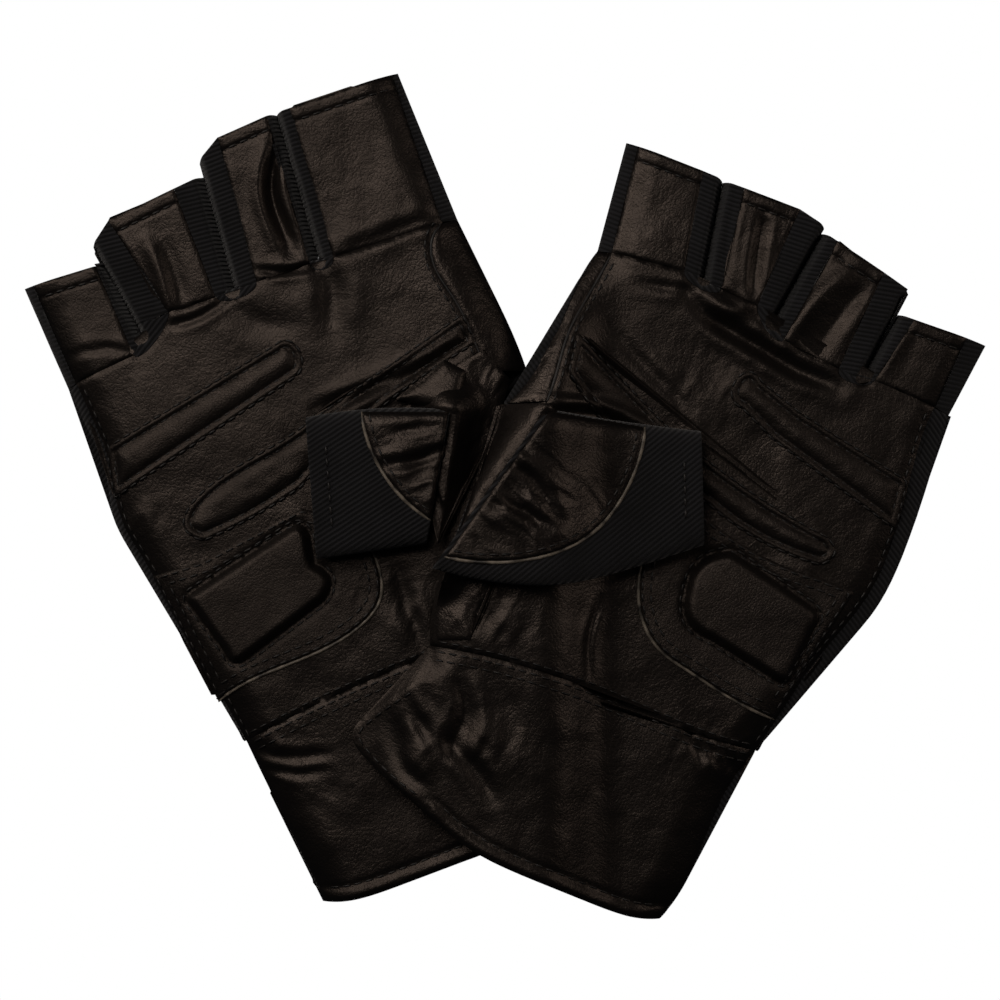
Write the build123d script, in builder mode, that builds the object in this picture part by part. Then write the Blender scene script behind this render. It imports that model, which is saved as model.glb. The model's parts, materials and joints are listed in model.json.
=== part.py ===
"""A pair of fingerless leather gloves with padded palms, laid palm up and crossed at the cuffs.

Row frame, in millimetres: +Z points up out of the palms, +Y towards the fingertips and +X across the
pair. The origin is on the floor, below the middle of the pair. The right-hand glove lies flat on the
floor. The left-hand glove lies half on the floor and half on the right-hand one, so every piece of it
is cut from a slab that steps up over the glove below.
"""

import math
import os
from dataclasses import dataclass

from build123d import *

# Material thicknesses
LEATHER = 1.2
TWILL = 1.0
THIN_LEATHER = 1.0
HOOK_TAPE = 0.6

# Heights of the layers above the glove's own base
GLOVE_HEIGHT = 9.6
STRIP_RISE = 1.6
STRIP_FOAM = 0.8
PATCH_RISE = 0.8
PAD_RISE = 3.0
GEL = 2.0
THUMB_BASE = GLOVE_HEIGHT + STRIP_RISE + 0.2
THUMB_HEIGHT = 7.4
THUMB_TOP = THUMB_BASE + THUMB_HEIGHT + THIN_LEATHER

# Insets and clearances
HINGE_GAP = 0.4
FOAM_INSET = 2.6
SAMPLE = 3.0
ELASTIC_WIDTH = 8.0
ELASTIC_RISE = 1.0
CROTCH_RADIUS = 1.9
CROTCH_WALL = 0.8

# Closing strap
STRAP = 1.2
STRAP_STACK = STRAP + HOOK_TAPE + 0.1
SINGLE_TAPE = HOOK_TAPE

# The step by which the left-hand glove climbs onto the right-hand one
CLIMB = GLOVE_HEIGHT + 0.4
CLIMB_TOP_X = 7.0
CLIMB_FOOT_X = 32.0

# Larger than the pair in every direction
REACH = 200.0
TALL = 60.0


@dataclass
class Finger:
    """One finger stall: the four corners of its outline, and how far the leather stands in from them."""

    base: tuple
    tip: tuple
    left_wall: tuple
    right_wall: tuple
    outer_side: str = ""

    def along(self, ends, share):
        """The point a distance from the first end towards the second, or back from the second."""
        (x0, y0), (x1, y1) = ends
        length = math.hypot(x1 - x0, y1 - y0)
        step = share if share >= 0 else length + share
        return (x0 + (x1 - x0) * step / length, y0 + (y1 - y0) * step / length)

    def direction(self):
        """Unit vector from the middle of the base to the middle of the tip."""
        dx = sum(p[0] for p in self.tip) - sum(p[0] for p in self.base)
        dy = sum(p[1] for p in self.tip) - sum(p[1] for p in self.base)
        length = math.hypot(dx, dy)
        return dx / length, dy / length

    def root(self):
        """The base corners, moved clear of the palm."""
        dx, dy = self.direction()
        return tuple((x + dx * HINGE_GAP, y + dy * HINGE_GAP) for x, y in self.base)

    def front(self):
        """Corners of the leather on the palm side: base left, base right, tip right, tip left."""
        base, tip = self.root(), self.tip
        return [
            self.along(base, self.left_wall[0]),
            self.along(base, -self.right_wall[0]),
            self.along(tip, -self.right_wall[1]),
            self.along(tip, self.left_wall[1]),
        ]

    def footprint(self):
        """Corners of the whole stall, in the same order."""
        base, tip = self.root(), self.tip
        return [base[0], base[1], tip[1], tip[0]]


@dataclass
class Glove:
    """The pattern of one glove, as it lies: outlines are points in the row frame."""

    name: str
    climb: float
    turn: int
    cuff_floor: float
    fingers: dict
    crotches: list
    palm_top: list
    web_seam: list
    web_edge: list
    thumb_hole: list
    heel_edge: list
    wrist_seam: list
    pinky_seam: list
    pinky_edge: list
    upper_strip: list
    lower_strip: list
    heel_patch: list
    gel_pad: list
    cuff_left: list
    cuff_hem: list
    cuff_right: list
    thumb: list
    thumb_channel: list
    thumb_patch: list
    thumb_root: list
    strap: list
    strap_low: float
    hook_pad: list
    loop_pad: list
    elastic: list


RIGHT = Glove(
    name="right",
    climb=0.0,
    turn=-1,
    cuff_floor=STRAP_STACK + HOOK_TAPE,
    fingers={
        "index": Finger(((-47.7, 61.5), (-12.4, 73.0)), ((-59.1, 100.7), (-28.0, 111.3)),
                        (3.2, 3.2), (4.0, 1.6), "right"),
        "middle": Finger(((-69.6, 54.2), (-49.4, 61.2)), ((-81.3, 91.2), (-60.8, 100.3)),
                         (5.2, 7.0), (1.4, 1.4)),
        "ring": Finger(((-94.4, 45.8), (-71.9, 53.2)), ((-109.8, 69.3), (-79.2, 84.2)),
                       (7.0, 7.0), (3.6, 8.0)),
        "pinky": Finger(((-114.5, 28.4), (-95.4, 37.4)), ((-126.0, 54.7), (-105.5, 60.9)),
                        (2.6, 2.6), (1.4, 1.4), "left"),
    },
    crotches=[((-48.6, 60.6), 16.0), ((-70.8, 53.0), 18.0), ((-93.4, 37.6), 24.0)],
    palm_top=[(-112.0, 29.6), (-95.4, 37.4), (-92.4, 35.4), (-91.0, 37.4), (-94.4, 45.8), (-71.9, 53.2),
              (-70.8, 51.6), (-69.6, 54.2), (-49.4, 61.2), (-48.6, 59.4), (-47.7, 61.5), (-16.4, 71.7)],
    web_seam=[(-16.4, 71.7), (-19.2, 66.0), (-18.4, 60.6), (-13.2, 52.0), (-7.1, 39.0), (-4.8, 33.0)],
    web_edge=[(-12.4, 73.0), (-5.1, 58.1), (0.6, 46.5), (5.9, 33.3)],
    thumb_hole=[(5.9, 33.3), (4.6, 4.6)],
    heel_edge=[(4.6, 4.6), (2.6, -14.0), (0.8, -34.0)],
    wrist_seam=[(0.8, -34.0), (-20.8, -41.8), (-43.0, -51.2), (-67.8, -63.8)],
    pinky_seam=[(-67.8, -63.8), (-80.0, -42.0), (-95.4, -15.2), (-101.2, -4.0), (-103.2, 7.0),
                (-107.0, 18.0), (-112.0, 29.6)],
    pinky_edge=[(-67.8, -63.8), (-82.1, -41.1), (-96.9, -16.3), (-102.9, -4.6), (-105.2, 7.2),
                (-109.5, 17.6), (-114.5, 28.4)],
    upper_strip=[[(-102.3, -0.7), (-103.6, 6.6), (-104.2, 13.2)], [(-104.2, 13.2), (-60.2, 40.0)],
                 [(-60.2, 40.0), (-55.5, 41.0), (-52.6, 36.8), (-54.6, 31.2)], [(-54.6, 31.2), (-102.3, -0.7)]],
    lower_strip=[[(-10.8, 48.4), (-52.9, 18.8)],
                 [(-52.9, 18.8), (-63.8, 11.9), (-75.6, 4.6), (-81.6, -1.0)],
                 [(-81.6, -1.0), (-83.9, -8.0), (-78.6, -11.6)],
                 [(-78.6, -11.6), (-69.1, -7.2), (-52.9, 2.6)],
                 [(-52.9, 2.6), (-28.6, 26.0), (-7.2, 40.2)], [(-7.2, 40.2), (-10.8, 48.4)]],
    heel_patch=[[(-75.0, -53.6), (-50.8, -41.3), (-38.2, -34.0), (-32.6, -27.0), (-33.6, -16.0),
                 (-40.0, -6.0)],
                [(-40.0, -6.0), (-52.9, -2.6)], [(-52.9, -2.6), (-79.0, -16.4)],
                [(-79.0, -16.4), (-92.4, -20.6)], [(-92.4, -20.6), (-75.0, -53.6)]],
    gel_pad=[[(-81.6, -24.6), (-56.6, -8.0)], [(-56.6, -8.0), (-53.4, -7.0), (-50.9, -9.6)],
             [(-50.9, -9.6), (-49.6, -17.4)], [(-49.6, -17.4), (-45.4, -21.0), (-47.4, -27.2)],
             [(-47.4, -27.2), (-67.6, -42.4)],
             [(-67.6, -42.4), (-70.6, -43.2), (-72.8, -40.6)], [(-72.8, -40.6), (-81.8, -28.2)],
             [(-81.8, -28.2), (-82.8, -26.0), (-81.6, -24.6)]],
    cuff_left=[(-67.8, -63.8), (-62.6, -74.6), (-57.0, -86.0), (-47.4, -106.0)],
    cuff_hem=[(-47.4, -106.0), (-41.6, -105.6), (-27.3, -101.4), (-5.1, -93.1), (0.4, -91.2)],
    cuff_right=[(0.4, -91.2), (0.8, -34.0)],
    thumb=[[(-14.0, 22.8), (-41.6, 22.4), (-51.6, 20.8)], [(-51.6, 20.8), (-48.7, -16.0)],
           [(-48.7, -16.0), (-33.0, -13.8), (-20.2, -12.0)], [(-20.2, -12.0), (-14.0, 22.8)]],
    thumb_channel=[(-10.0, 21.2), (-54.0, 19.6), (-52.0, -14.4), (-16.0, -10.4)],
    thumb_patch=[[(-37.0, 22.3), (-34.4, 12.0), (-28.6, 2.4), (-19.0, -6.0)],
                 [(-19.0, -6.0), (-14.2, 22.3)], [(-14.2, 22.3), (-37.0, 22.3)]],
    thumb_root=[[(-12.6, 22.4), (-26.0, 23.6)], [(-26.0, 23.6), (-16.6, 31.4), (-5.6, 38.4)],
                [(-5.6, 38.4), (1.4, 31.0)], [(1.4, 31.0), (-3.4, 17.0), (-12.0, 0.6), (-17.4, -11.6)],
                [(-17.4, -11.6), (-12.6, 22.4)]],
    strap=[[(0.0, -52.0), (-30.0, -53.0)], [(-30.0, -53.0), (-42.0, -66.0), (-30.0, -79.0)],
           [(-30.0, -79.0), (0.0, -80.0)], [(0.0, -80.0), (0.0, -52.0)]],
    strap_low=0.0,
    hook_pad=[[(-12.0, -55.0), (-30.0, -56.0)], [(-30.0, -56.0), (-38.6, -66.0), (-30.0, -76.0)],
              [(-30.0, -76.0), (-12.0, -77.0)], [(-12.0, -77.0), (-12.0, -55.0)]],
    loop_pad=[[(-8.0, -54.0), (-44.0, -56.0)], [(-44.0, -56.0), (-44.0, -78.0)],
              [(-44.0, -78.0), (-8.0, -80.0)], [(-8.0, -80.0), (-8.0, -54.0)]],
    elastic=[(-64.0, -56.6), (-43.0, -45.0), (-20.8, -35.6), (-4.0, -29.6)],
)

LEFT = Glove(
    name="left",
    climb=CLIMB,
    turn=1,
    cuff_floor=SINGLE_TAPE,
    fingers={
        "index": Finger(((24.4, 64.6), (50.8, 57.8)), ((32.0, 93.1), (56.6, 83.5)),
                        (3.6, 3.2), (4.0, 5.0), "left"),
        "middle": Finger(((53.4, 55.4), (69.4, 48.6)), ((58.2, 82.6), (83.4, 73.0)),
                         (3.4, 4.8), (3.6, 6.6)),
        "ring": Finger(((70.6, 42.0), (92.0, 30.6)), ((85.0, 68.4), (105.4, 54.6)),
                       (2.4, 2.6), (5.4, 7.6)),
        "pinky": Finger(((95.2, 30.8), (116.6, 21.5)), ((103.4, 47.8), (126.3, 39.8)),
                        (1.4, 4.0), (4.4, 5.8), "right"),
    },
    crotches=[((52.4, 55.8), -14.0), ((69.8, 42.4), -26.0), ((93.4, 29.6), -26.0)],
    palm_top=[(112.4, 23.4), (95.2, 30.8), (93.2, 28.2), (92.0, 30.6), (70.6, 42.0), (69.6, 40.8),
              (69.4, 48.6), (53.4, 55.4), (52.4, 54.4), (50.8, 57.8), (27.9, 63.7)],
    web_seam=[(27.9, 63.7), (21.8, 52.6), (16.4, 42.2), (14.0, 34.0), (11.0, 25.0)],
    web_edge=[(24.4, 64.6), (17.1, 51.6), (12.4, 40.4), (5.4, 29.6), (0.4, 24.6)],
    thumb_hole=[(0.4, 24.6), (-14.6, -15.0)],
    heel_edge=[(-14.6, -15.0), (-18.4, -26.8), (-19.4, -38.5)],
    wrist_seam=[(-19.4, -38.5), (2.7, -43.0), (22.3, -49.7), (41.9, -58.2), (65.9, -66.4)],
    pinky_seam=[(65.9, -66.4), (73.0, -55.6), (81.2, -43.4), (95.8, -25.0), (102.7, -8.4), (106.0, 4.0),
                (112.4, 23.4)],
    pinky_edge=[(65.9, -66.4), (74.2, -56.8), (82.4, -46.4), (97.7, -29.0), (104.9, -14.4),
                (111.4, 4.5), (116.6, 21.5)],
    upper_strip=[[(105.6, 4.4), (77.4, 22.4)], [(77.4, 22.4), (67.5, 30.4)],
                 [(67.5, 30.4), (62.8, 33.0), (59.2, 29.0), (62.0, 23.0)],
                 [(62.0, 23.0), (69.6, 15.2)], [(69.6, 15.2), (102.4, -9.0)],
                 [(102.4, -9.0), (105.6, 4.4)]],
    lower_strip=[[(18.9, 43.6), (41.4, 20.0)], [(41.4, 20.0), (53.7, 9.6), (84.5, -10.1)],
                 [(84.5, -10.1), (86.6, -14.4), (82.4, -17.9)],
                 [(82.4, -17.9), (69.3, -12.9), (52.9, -1.8)],
                 [(52.9, -1.8), (33.0, 12.0), (16.4, 32.6)], [(16.4, 32.6), (18.9, 43.6)]],
    heel_patch=[[(70.6, -58.2), (57.3, -51.4), (48.4, -45.6), (39.8, -39.0), (35.9, -31.5),
                 (35.6, -18.0), (42.0, 1.0)],
                [(42.0, 1.0), (52.9, -5.0)], [(52.9, -5.0), (69.3, -16.0), (82.4, -20.8)],
                [(82.4, -20.8), (91.6, -24.6)], [(91.6, -24.6), (70.6, -58.2)]],
    gel_pad=[[(47.3, -24.8), (51.6, -16.2), (59.4, -14.0)], [(59.4, -14.0), (79.4, -27.6)],
             [(79.4, -27.6), (81.8, -30.4), (80.4, -35.1)], [(80.4, -35.1), (75.6, -45.4)],
             [(75.6, -45.4), (73.6, -48.4), (70.6, -47.6)], [(70.6, -47.6), (54.0, -37.2)],
             [(54.0, -37.2), (47.4, -31.6), (47.3, -24.8)]],
    cuff_left=[(65.9, -66.4), (59.8, -74.5), (56.8, -80.3), (40.8, -110.6)],
    cuff_hem=[(40.8, -110.6), (33.8, -109.8), (14.5, -102.0), (-5.4, -93.1), (-19.6, -82.1)],
    cuff_right=[(-19.6, -82.1), (-19.4, -38.5)],
    thumb=[[(10.8, 22.8), (36.2, 19.0), (51.0, 17.2)], [(51.0, 17.2), (51.8, -12.4)],
           [(51.8, -12.4), (35.4, -17.7), (14.5, -22.4), (-4.0, -21.6), (-18.6, -18.2)],
           [(-18.6, -18.2), (10.8, 22.8)]],
    thumb_channel=[(11.6, 21.0), (53.6, 15.6), (54.0, -10.8), (-17.0, -16.6)],
    thumb_patch=[[(11.4, 22.2), (24.0, 20.4), (36.4, 18.4)],
                 [(36.4, 18.4), (32.8, 4.6), (22.3, -9.4), (4.0, -16.2), (-15.4, -15.2)],
                 [(-15.4, -15.2), (11.4, 22.2)]],
    thumb_root=[[(-1.0, 24.2), (12.0, 24.2)], [(12.0, 24.2), (15.0, 20.0)],
                [(15.0, 20.0), (-8.0, -12.0)],
                [(-8.0, -12.0), (-5.6, -26.0)], [(-5.6, -26.0), (-9.0, -36.8)],
                [(-9.0, -36.8), (-17.6, -36.8)],
                [(-17.6, -36.8), (-17.4, -26.8), (-13.4, -14.6), (-7.6, 2.0), (-1.0, 24.2)]],
    strap=[[(-20.0, -46.0), (-28.0, -50.8), (-36.7, -57.3)],
           [(-36.7, -57.3), (-39.6, -61.5), (-37.2, -66.8)],
           [(-37.2, -66.8), (-29.9, -73.8), (-20.0, -80.5)], [(-20.0, -80.5), (-20.0, -46.0)]],
    strap_low=HOOK_TAPE + 0.1,
    hook_pad=[[(-23.0, -52.4), (-30.0, -56.6), (-34.6, -60.6)],
              [(-34.6, -60.6), (-35.6, -63.0), (-33.6, -66.4)],
              [(-33.6, -66.4), (-28.0, -71.0), (-23.0, -74.6)], [(-23.0, -74.6), (-23.0, -52.4)]],
    loop_pad=[[(36.0, -62.0), (58.0, -71.0)], [(58.0, -71.0), (46.0, -92.0)],
              [(46.0, -92.0), (36.0, -88.0)], [(36.0, -88.0), (36.0, -62.0)]],
    elastic=[(-15.0, -33.0), (5.0, -37.4), (24.6, -44.0), (44.2, -52.4), (63.0, -59.0)],
)


def runs_face(runs):
    """The face inside a closed outline: a run of two points is straight, a longer one a smooth curve."""
    with BuildSketch() as outline:
        with BuildLine():
            for run in runs:
                if len(run) == 2:
                    Line(*run)
                else:
                    Spline(*run)
        make_face()
    return outline.sketch


def closed(*runs):
    """The runs as they stand, with the last point of each joined to the first of the next by a line."""
    joined = []
    for this, following in zip(runs, runs[1:] + runs[:1]):
        joined.append(list(this))
        if math.dist(this[-1], following[0]) > 1e-6:
            joined.append([this[-1], following[0]])
    return joined


def corners(points):
    """A polygon's points as straight runs."""
    return [[a, b] for a, b in zip(points, points[1:] + points[:1])]


def pairs(points):
    """A polyline's points as straight runs, left open."""
    return [[a, b] for a, b in zip(points, points[1:])]


def inward(points, distance):
    """The run moved sideways to its left by a distance, for the inner face of a wall."""
    moved = []
    for i, (x, y) in enumerate(points):
        x0, y0 = points[max(i - 1, 0)]
        x1, y1 = points[min(i + 1, len(points) - 1)]
        length = math.hypot(x1 - x0, y1 - y0)
        moved.append((x - (y1 - y0) / length * distance, y + (x1 - x0) / length * distance))
    return moved


def side_wall(run, distance):
    """Outline of a thin wall that stands along a run."""
    return closed(list(run), inward(run, distance)[::-1])


def climb_profile(height, climb):
    """One edge of the slab's cross-section, from the far left to the far right."""
    middle = (CLIMB_TOP_X + CLIMB_FOOT_X) / 2
    high = height + climb
    Polyline((-REACH, high), (CLIMB_TOP_X, high))
    Bezier((CLIMB_TOP_X, high), (middle, high), (middle, height), (CLIMB_FOOT_X, height))
    Polyline((CLIMB_FOOT_X, height), (REACH, height))


def layer(runs, low, high, climb=0.0):
    """A flat-cut piece between two heights, laid over the step if the glove climbs one."""
    outline = runs_face(runs)
    with BuildPart() as piece:
        if climb == 0:
            with BuildSketch(Plane.XY.offset(low)):
                add(outline)
            extrude(amount=high - low)
        else:
            with BuildSketch(Plane.XY):
                add(outline)
            extrude(amount=TALL)
            with BuildSketch(Plane.XZ):
                with BuildLine():
                    climb_profile(low, climb)
                    Line((REACH, low), (REACH, high))
                    climb_profile(high, climb)
                    Line((-REACH, high + climb), (-REACH, low + climb))
                make_face()
            extrude(amount=REACH, both=True, mode=Mode.INTERSECT)
    return piece.part


def shrunk(runs, distance):
    """The outline taken in by a distance all round."""
    edge = runs_face(runs).face().outer_wire()
    count = round(edge.length / SAMPLE)
    points = [edge.position_at(i / count) for i in range(count)]
    with BuildSketch() as smaller:
        with BuildLine():
            Polyline(*points, close=True)
        make_face()
        offset(amount=-distance, kind=Kind.INTERSECTION, mode=Mode.REPLACE)
    return smaller.sketch


def insert(runs, distance, low, high, climb):
    """A filling that lies inside a padded piece, a distance in from its edge."""
    outline = shrunk(runs, distance)
    everywhere = corners([(-REACH, -REACH), (REACH, -REACH), (REACH, REACH), (-REACH, REACH)])
    with BuildPart() as piece:
        if climb == 0:
            with BuildSketch(Plane.XY.offset(low)):
                add(outline)
            extrude(amount=high - low)
        else:
            with BuildSketch(Plane.XY):
                add(outline)
            extrude(amount=TALL)
            add(layer(everywhere, low, high, climb), mode=Mode.INTERSECT)
    return piece.part


def save(part, name):
    """Labels a finished piece and writes its STEP file."""
    part.label = name
    export_step(part, f"parts/{name}.step")


def build_palm(glove):
    """The palm's leather, the back of the hand with its side walls, and the web by the thumb."""
    top, base, climb = GLOVE_HEIGHT, glove.name, glove.climb
    side_top = top - LEATHER
    leather = closed(*pairs(glove.palm_top), glove.web_seam, glove.heel_edge, glove.wrist_seam,
                     glove.pinky_seam)
    with BuildPart() as palm_panel:
        add(layer(leather, side_top, top, climb))
    save(palm_panel.part, f"{base}_palm_panel")

    with BuildPart() as web_gusset:
        add(layer(closed(glove.web_edge, glove.web_seam[::-1]), side_top, top, climb))
    save(web_gusset.part, f"{base}_web_gusset")

    bases = sorted((p for finger in glove.fingers.values() for p in finger.base), reverse=base == "left")
    footprint = closed(*pairs(bases), glove.web_edge, glove.thumb_hole, glove.heel_edge, glove.wrist_seam,
                       glove.pinky_edge)
    side_lip = closed(glove.pinky_edge, glove.pinky_seam[::-1])
    with BuildPart() as back_panel:
        for run in (glove.pinky_edge, glove.web_edge, glove.heel_edge):
            add(layer(side_wall(run, glove.turn * TWILL), 0, side_top, climb))
        add(layer(footprint, 0, side_top, climb), mode=Mode.INTERSECT)
        add(layer(footprint, 0, TWILL, climb))
        add(layer(side_lip, side_top, top, climb))
    save(back_panel.part, f"{base}_back_panel")


def build_fingers(glove):
    """Each stall's leather front, twill back and twill side walls, and the walls round the crotches."""
    top, side_top = GLOVE_HEIGHT, GLOVE_HEIGHT - LEATHER
    for name, finger in glove.fingers.items():
        with BuildPart() as front:
            add(layer(corners(finger.front()), side_top, top))
        save(front.part, f"{glove.name}_{name}_front")

        sides = {"left": (0, 3), "right": (1, 2)}
        walls = {}
        for side, (root, tip) in sides.items():
            outer, inner = finger.footprint(), finger.front()
            sections = []
            for corner in (root, tip):
                (x0, y0), (x1, y1) = outer[corner], inner[corner]
                lean = math.hypot(x1 - x0, y1 - y0)
                across = ((x1 - x0) / lean, (y1 - y0) / lean)
                upright = Plane((x0, y0, 0), x_dir=(*across, 0), z_dir=(across[1], -across[0], 0))
                with BuildSketch(upright) as section:
                    with BuildLine():
                        Polyline((0, TWILL), (TWILL, TWILL), (lean + TWILL, side_top), (lean, side_top),
                                 close=True)
                    make_face()
                sections.append(section.sketch)
            with BuildPart() as wall:
                loft(sections, ruled=True)
            walls[side] = wall.part

        with BuildPart() as back:
            add(layer(corners(finger.footprint()), 0, TWILL))
            if finger.outer_side:
                add(walls.pop(finger.outer_side))
        save(back.part, f"{glove.name}_{name}_back")

        with BuildPart() as fourchette:
            for wall in walls.values():
                add(wall)
        save(fourchette.part, f"{glove.name}_{name}_fourchette")

    with BuildPart() as crotches:
        for (x, y), lean in glove.crotches:
            with BuildSketch(Plane.XY.offset(TWILL)):
                with Locations(Location((x, y, 0), (0, 0, lean))):
                    Circle(CROTCH_RADIUS)
                    Circle(CROTCH_RADIUS - CROTCH_WALL, mode=Mode.SUBTRACT)
                    with Locations((0, CROTCH_RADIUS)):
                        Rectangle(3 * CROTCH_RADIUS, 2 * CROTCH_RADIUS, mode=Mode.SUBTRACT)
            extrude(amount=side_top - TWILL)
    save(crotches.part, f"{glove.name}_fourchette_crotches")


def build_pads(glove):
    """The padded strips and the heel patch with its gel pad, and what fills them."""
    top, climb = GLOVE_HEIGHT, glove.climb
    with BuildPart() as foams:
        add(insert(glove.upper_strip, FOAM_INSET, top, top + STRIP_FOAM, climb))
        add(insert(glove.lower_strip, FOAM_INSET, top, top + STRIP_FOAM, climb))
    save(foams.part, f"{glove.name}_strip_foams")

    for name, outline in (("upper_strip", glove.upper_strip), ("lower_strip", glove.lower_strip)):
        with BuildPart() as strip:
            add(layer(outline, top, top + STRIP_RISE, climb))
            add(insert(outline, FOAM_INSET, top, top + STRIP_FOAM, climb), mode=Mode.SUBTRACT)
        save(strip.part, f"{glove.name}_{name}")

    with BuildPart() as gel:
        add(insert(glove.gel_pad, LEATHER, top, top + GEL, climb))
    save(gel.part, f"{glove.name}_gel_pad")

    with BuildPart() as patch:
        add(layer(glove.heel_patch, top, top + PATCH_RISE, climb))
        add(layer(glove.gel_pad, top, top + PAD_RISE, climb))
        add(insert(glove.gel_pad, LEATHER, top, top + GEL, climb), mode=Mode.SUBTRACT)
    save(patch.part, f"{glove.name}_heel_patch")


def build_thumb(glove):
    """The thumb stall folded over the palm, its leather patch, and the leather at its root."""
    climb = glove.climb
    sleeve_top = THUMB_BASE + THUMB_HEIGHT
    with BuildPart() as sleeve:
        add(layer(glove.thumb, THUMB_BASE, sleeve_top, climb))
        add(layer(corners(glove.thumb_channel), THUMB_BASE + TWILL, sleeve_top - TWILL, climb),
            mode=Mode.SUBTRACT)
    save(sleeve.part, f"{glove.name}_thumb_sleeve")

    with BuildPart() as patch:
        add(layer(glove.thumb_patch, sleeve_top, THUMB_TOP, climb))
    save(patch.part, f"{glove.name}_thumb_patch")

    with BuildPart() as root:
        add(layer(glove.thumb_root, GLOVE_HEIGHT, GLOVE_HEIGHT + THIN_LEATHER, climb))
    save(root.part, f"{glove.name}_thumb_root")


def build_cuff(glove):
    """The wrist band, the elastic sewn in above it, and the closing strap with its hook and loop tape."""
    climb, floor, top = glove.climb, glove.cuff_floor, GLOVE_HEIGHT
    outline = closed(glove.wrist_seam, glove.cuff_left, glove.cuff_hem, glove.cuff_right)
    with BuildPart() as cuff_front:
        add(layer(outline, top - LEATHER, top, climb))
    save(cuff_front.part, f"{glove.name}_cuff_front")

    with BuildPart() as cuff_back:
        for run in (glove.cuff_left, glove.cuff_right):
            add(layer(side_wall(run, -glove.turn * TWILL), floor, top - LEATHER, climb))
        add(layer(side_wall(glove.wrist_seam, glove.turn * -TWILL), 0, floor + LEATHER, climb))
        add(layer(outline, 0, top - LEATHER, climb), mode=Mode.INTERSECT)
        add(layer(outline, floor, floor + LEATHER, climb))
    save(cuff_back.part, f"{glove.name}_cuff_back")

    band = closed(glove.elastic, inward(glove.elastic, ELASTIC_WIDTH)[::-1])
    with BuildPart() as elastic:
        add(layer(band, TWILL, TWILL + ELASTIC_RISE, climb))
    save(elastic.part, f"{glove.name}_wrist_elastic")

    strap_high = glove.strap_low + STRAP
    hook_low = strap_high if glove.climb == 0 else glove.strap_low - HOOK_TAPE
    with BuildPart() as strap:
        add(layer(glove.strap, glove.strap_low, strap_high, climb))
    save(strap.part, f"{glove.name}_wrist_strap")

    with BuildPart() as hook_pad:
        add(layer(glove.hook_pad, hook_low, hook_low + HOOK_TAPE, climb))
    save(hook_pad.part, f"{glove.name}_hook_pad")

    with BuildPart() as loop_pad:
        add(layer(glove.loop_pad, floor - HOOK_TAPE, floor, climb))
    save(loop_pad.part, f"{glove.name}_loop_pad")


def main():
    """Builds both gloves, piece by piece."""
    os.makedirs("parts", exist_ok=True)
    for glove in (RIGHT, LEFT):
        build_palm(glove)
        build_fingers(glove)
        build_pads(glove)
        build_thumb(glove)
        build_cuff(glove)


main()
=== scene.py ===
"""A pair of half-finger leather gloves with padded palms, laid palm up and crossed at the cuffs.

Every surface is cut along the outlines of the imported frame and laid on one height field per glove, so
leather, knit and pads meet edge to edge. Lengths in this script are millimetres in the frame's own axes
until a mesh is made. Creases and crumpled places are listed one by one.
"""

import json
import logging
import math
from dataclasses import dataclass, field
from enum import Enum
from typing import Callable, Optional, Sequence

import bpy
import numpy as np
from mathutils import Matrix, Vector
from mathutils.geometry import delaunay_2d_cdt


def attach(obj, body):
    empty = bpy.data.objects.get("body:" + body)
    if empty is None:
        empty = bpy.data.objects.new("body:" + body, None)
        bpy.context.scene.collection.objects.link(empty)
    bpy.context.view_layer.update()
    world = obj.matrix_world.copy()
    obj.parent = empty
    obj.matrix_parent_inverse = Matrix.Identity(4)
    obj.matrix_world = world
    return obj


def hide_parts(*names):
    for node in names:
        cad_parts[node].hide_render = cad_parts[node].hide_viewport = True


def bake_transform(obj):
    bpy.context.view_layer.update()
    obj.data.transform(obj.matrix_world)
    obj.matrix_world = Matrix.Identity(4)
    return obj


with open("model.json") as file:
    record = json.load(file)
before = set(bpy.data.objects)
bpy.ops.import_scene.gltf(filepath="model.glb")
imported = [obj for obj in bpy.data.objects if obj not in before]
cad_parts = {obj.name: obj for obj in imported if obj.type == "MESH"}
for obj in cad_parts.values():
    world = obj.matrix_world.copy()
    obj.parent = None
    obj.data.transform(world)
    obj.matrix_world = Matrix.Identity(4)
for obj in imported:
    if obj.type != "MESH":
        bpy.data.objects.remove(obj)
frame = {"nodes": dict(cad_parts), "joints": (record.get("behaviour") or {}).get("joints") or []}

LOG = logging.getLogger("gloves")
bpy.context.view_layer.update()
JOINTS = {joint["name"]: joint for joint in frame["joints"]}

MM = 0.001

# Mesh spacings
FINE = 0.62
MEDIUM = 0.9
COARSE = 2.4

# The glove as it lies
GLOVE_HEIGHT = 9.6
SIDE_ROLL = 10.0
SIDE_LOW = 4.2
GAP_ROLL = 2.4
GAP_LOW = 1.4
BACK_ROLL = 7.0
LEATHER = 1.0
KNIT = 0.8

# The slope of the glove that lies on the other
CLIMB_TOP_X = 7.0
CLIMB_FOOT_X = 32.0

# Sewing
STITCH_LENGTH = 2.3
STITCH_PITCH = 3.1
THREAD = 0.3

Line = Sequence[tuple[float, float]]
Heights = Callable[[np.ndarray], np.ndarray]


class Side(Enum):
    """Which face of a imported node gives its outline."""

    TOP = 1
    BOTTOM = -1


def as_points(line: Line) -> np.ndarray:
    """A given line as an array of points."""
    return np.array(line, float).reshape(-1, 2)


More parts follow.
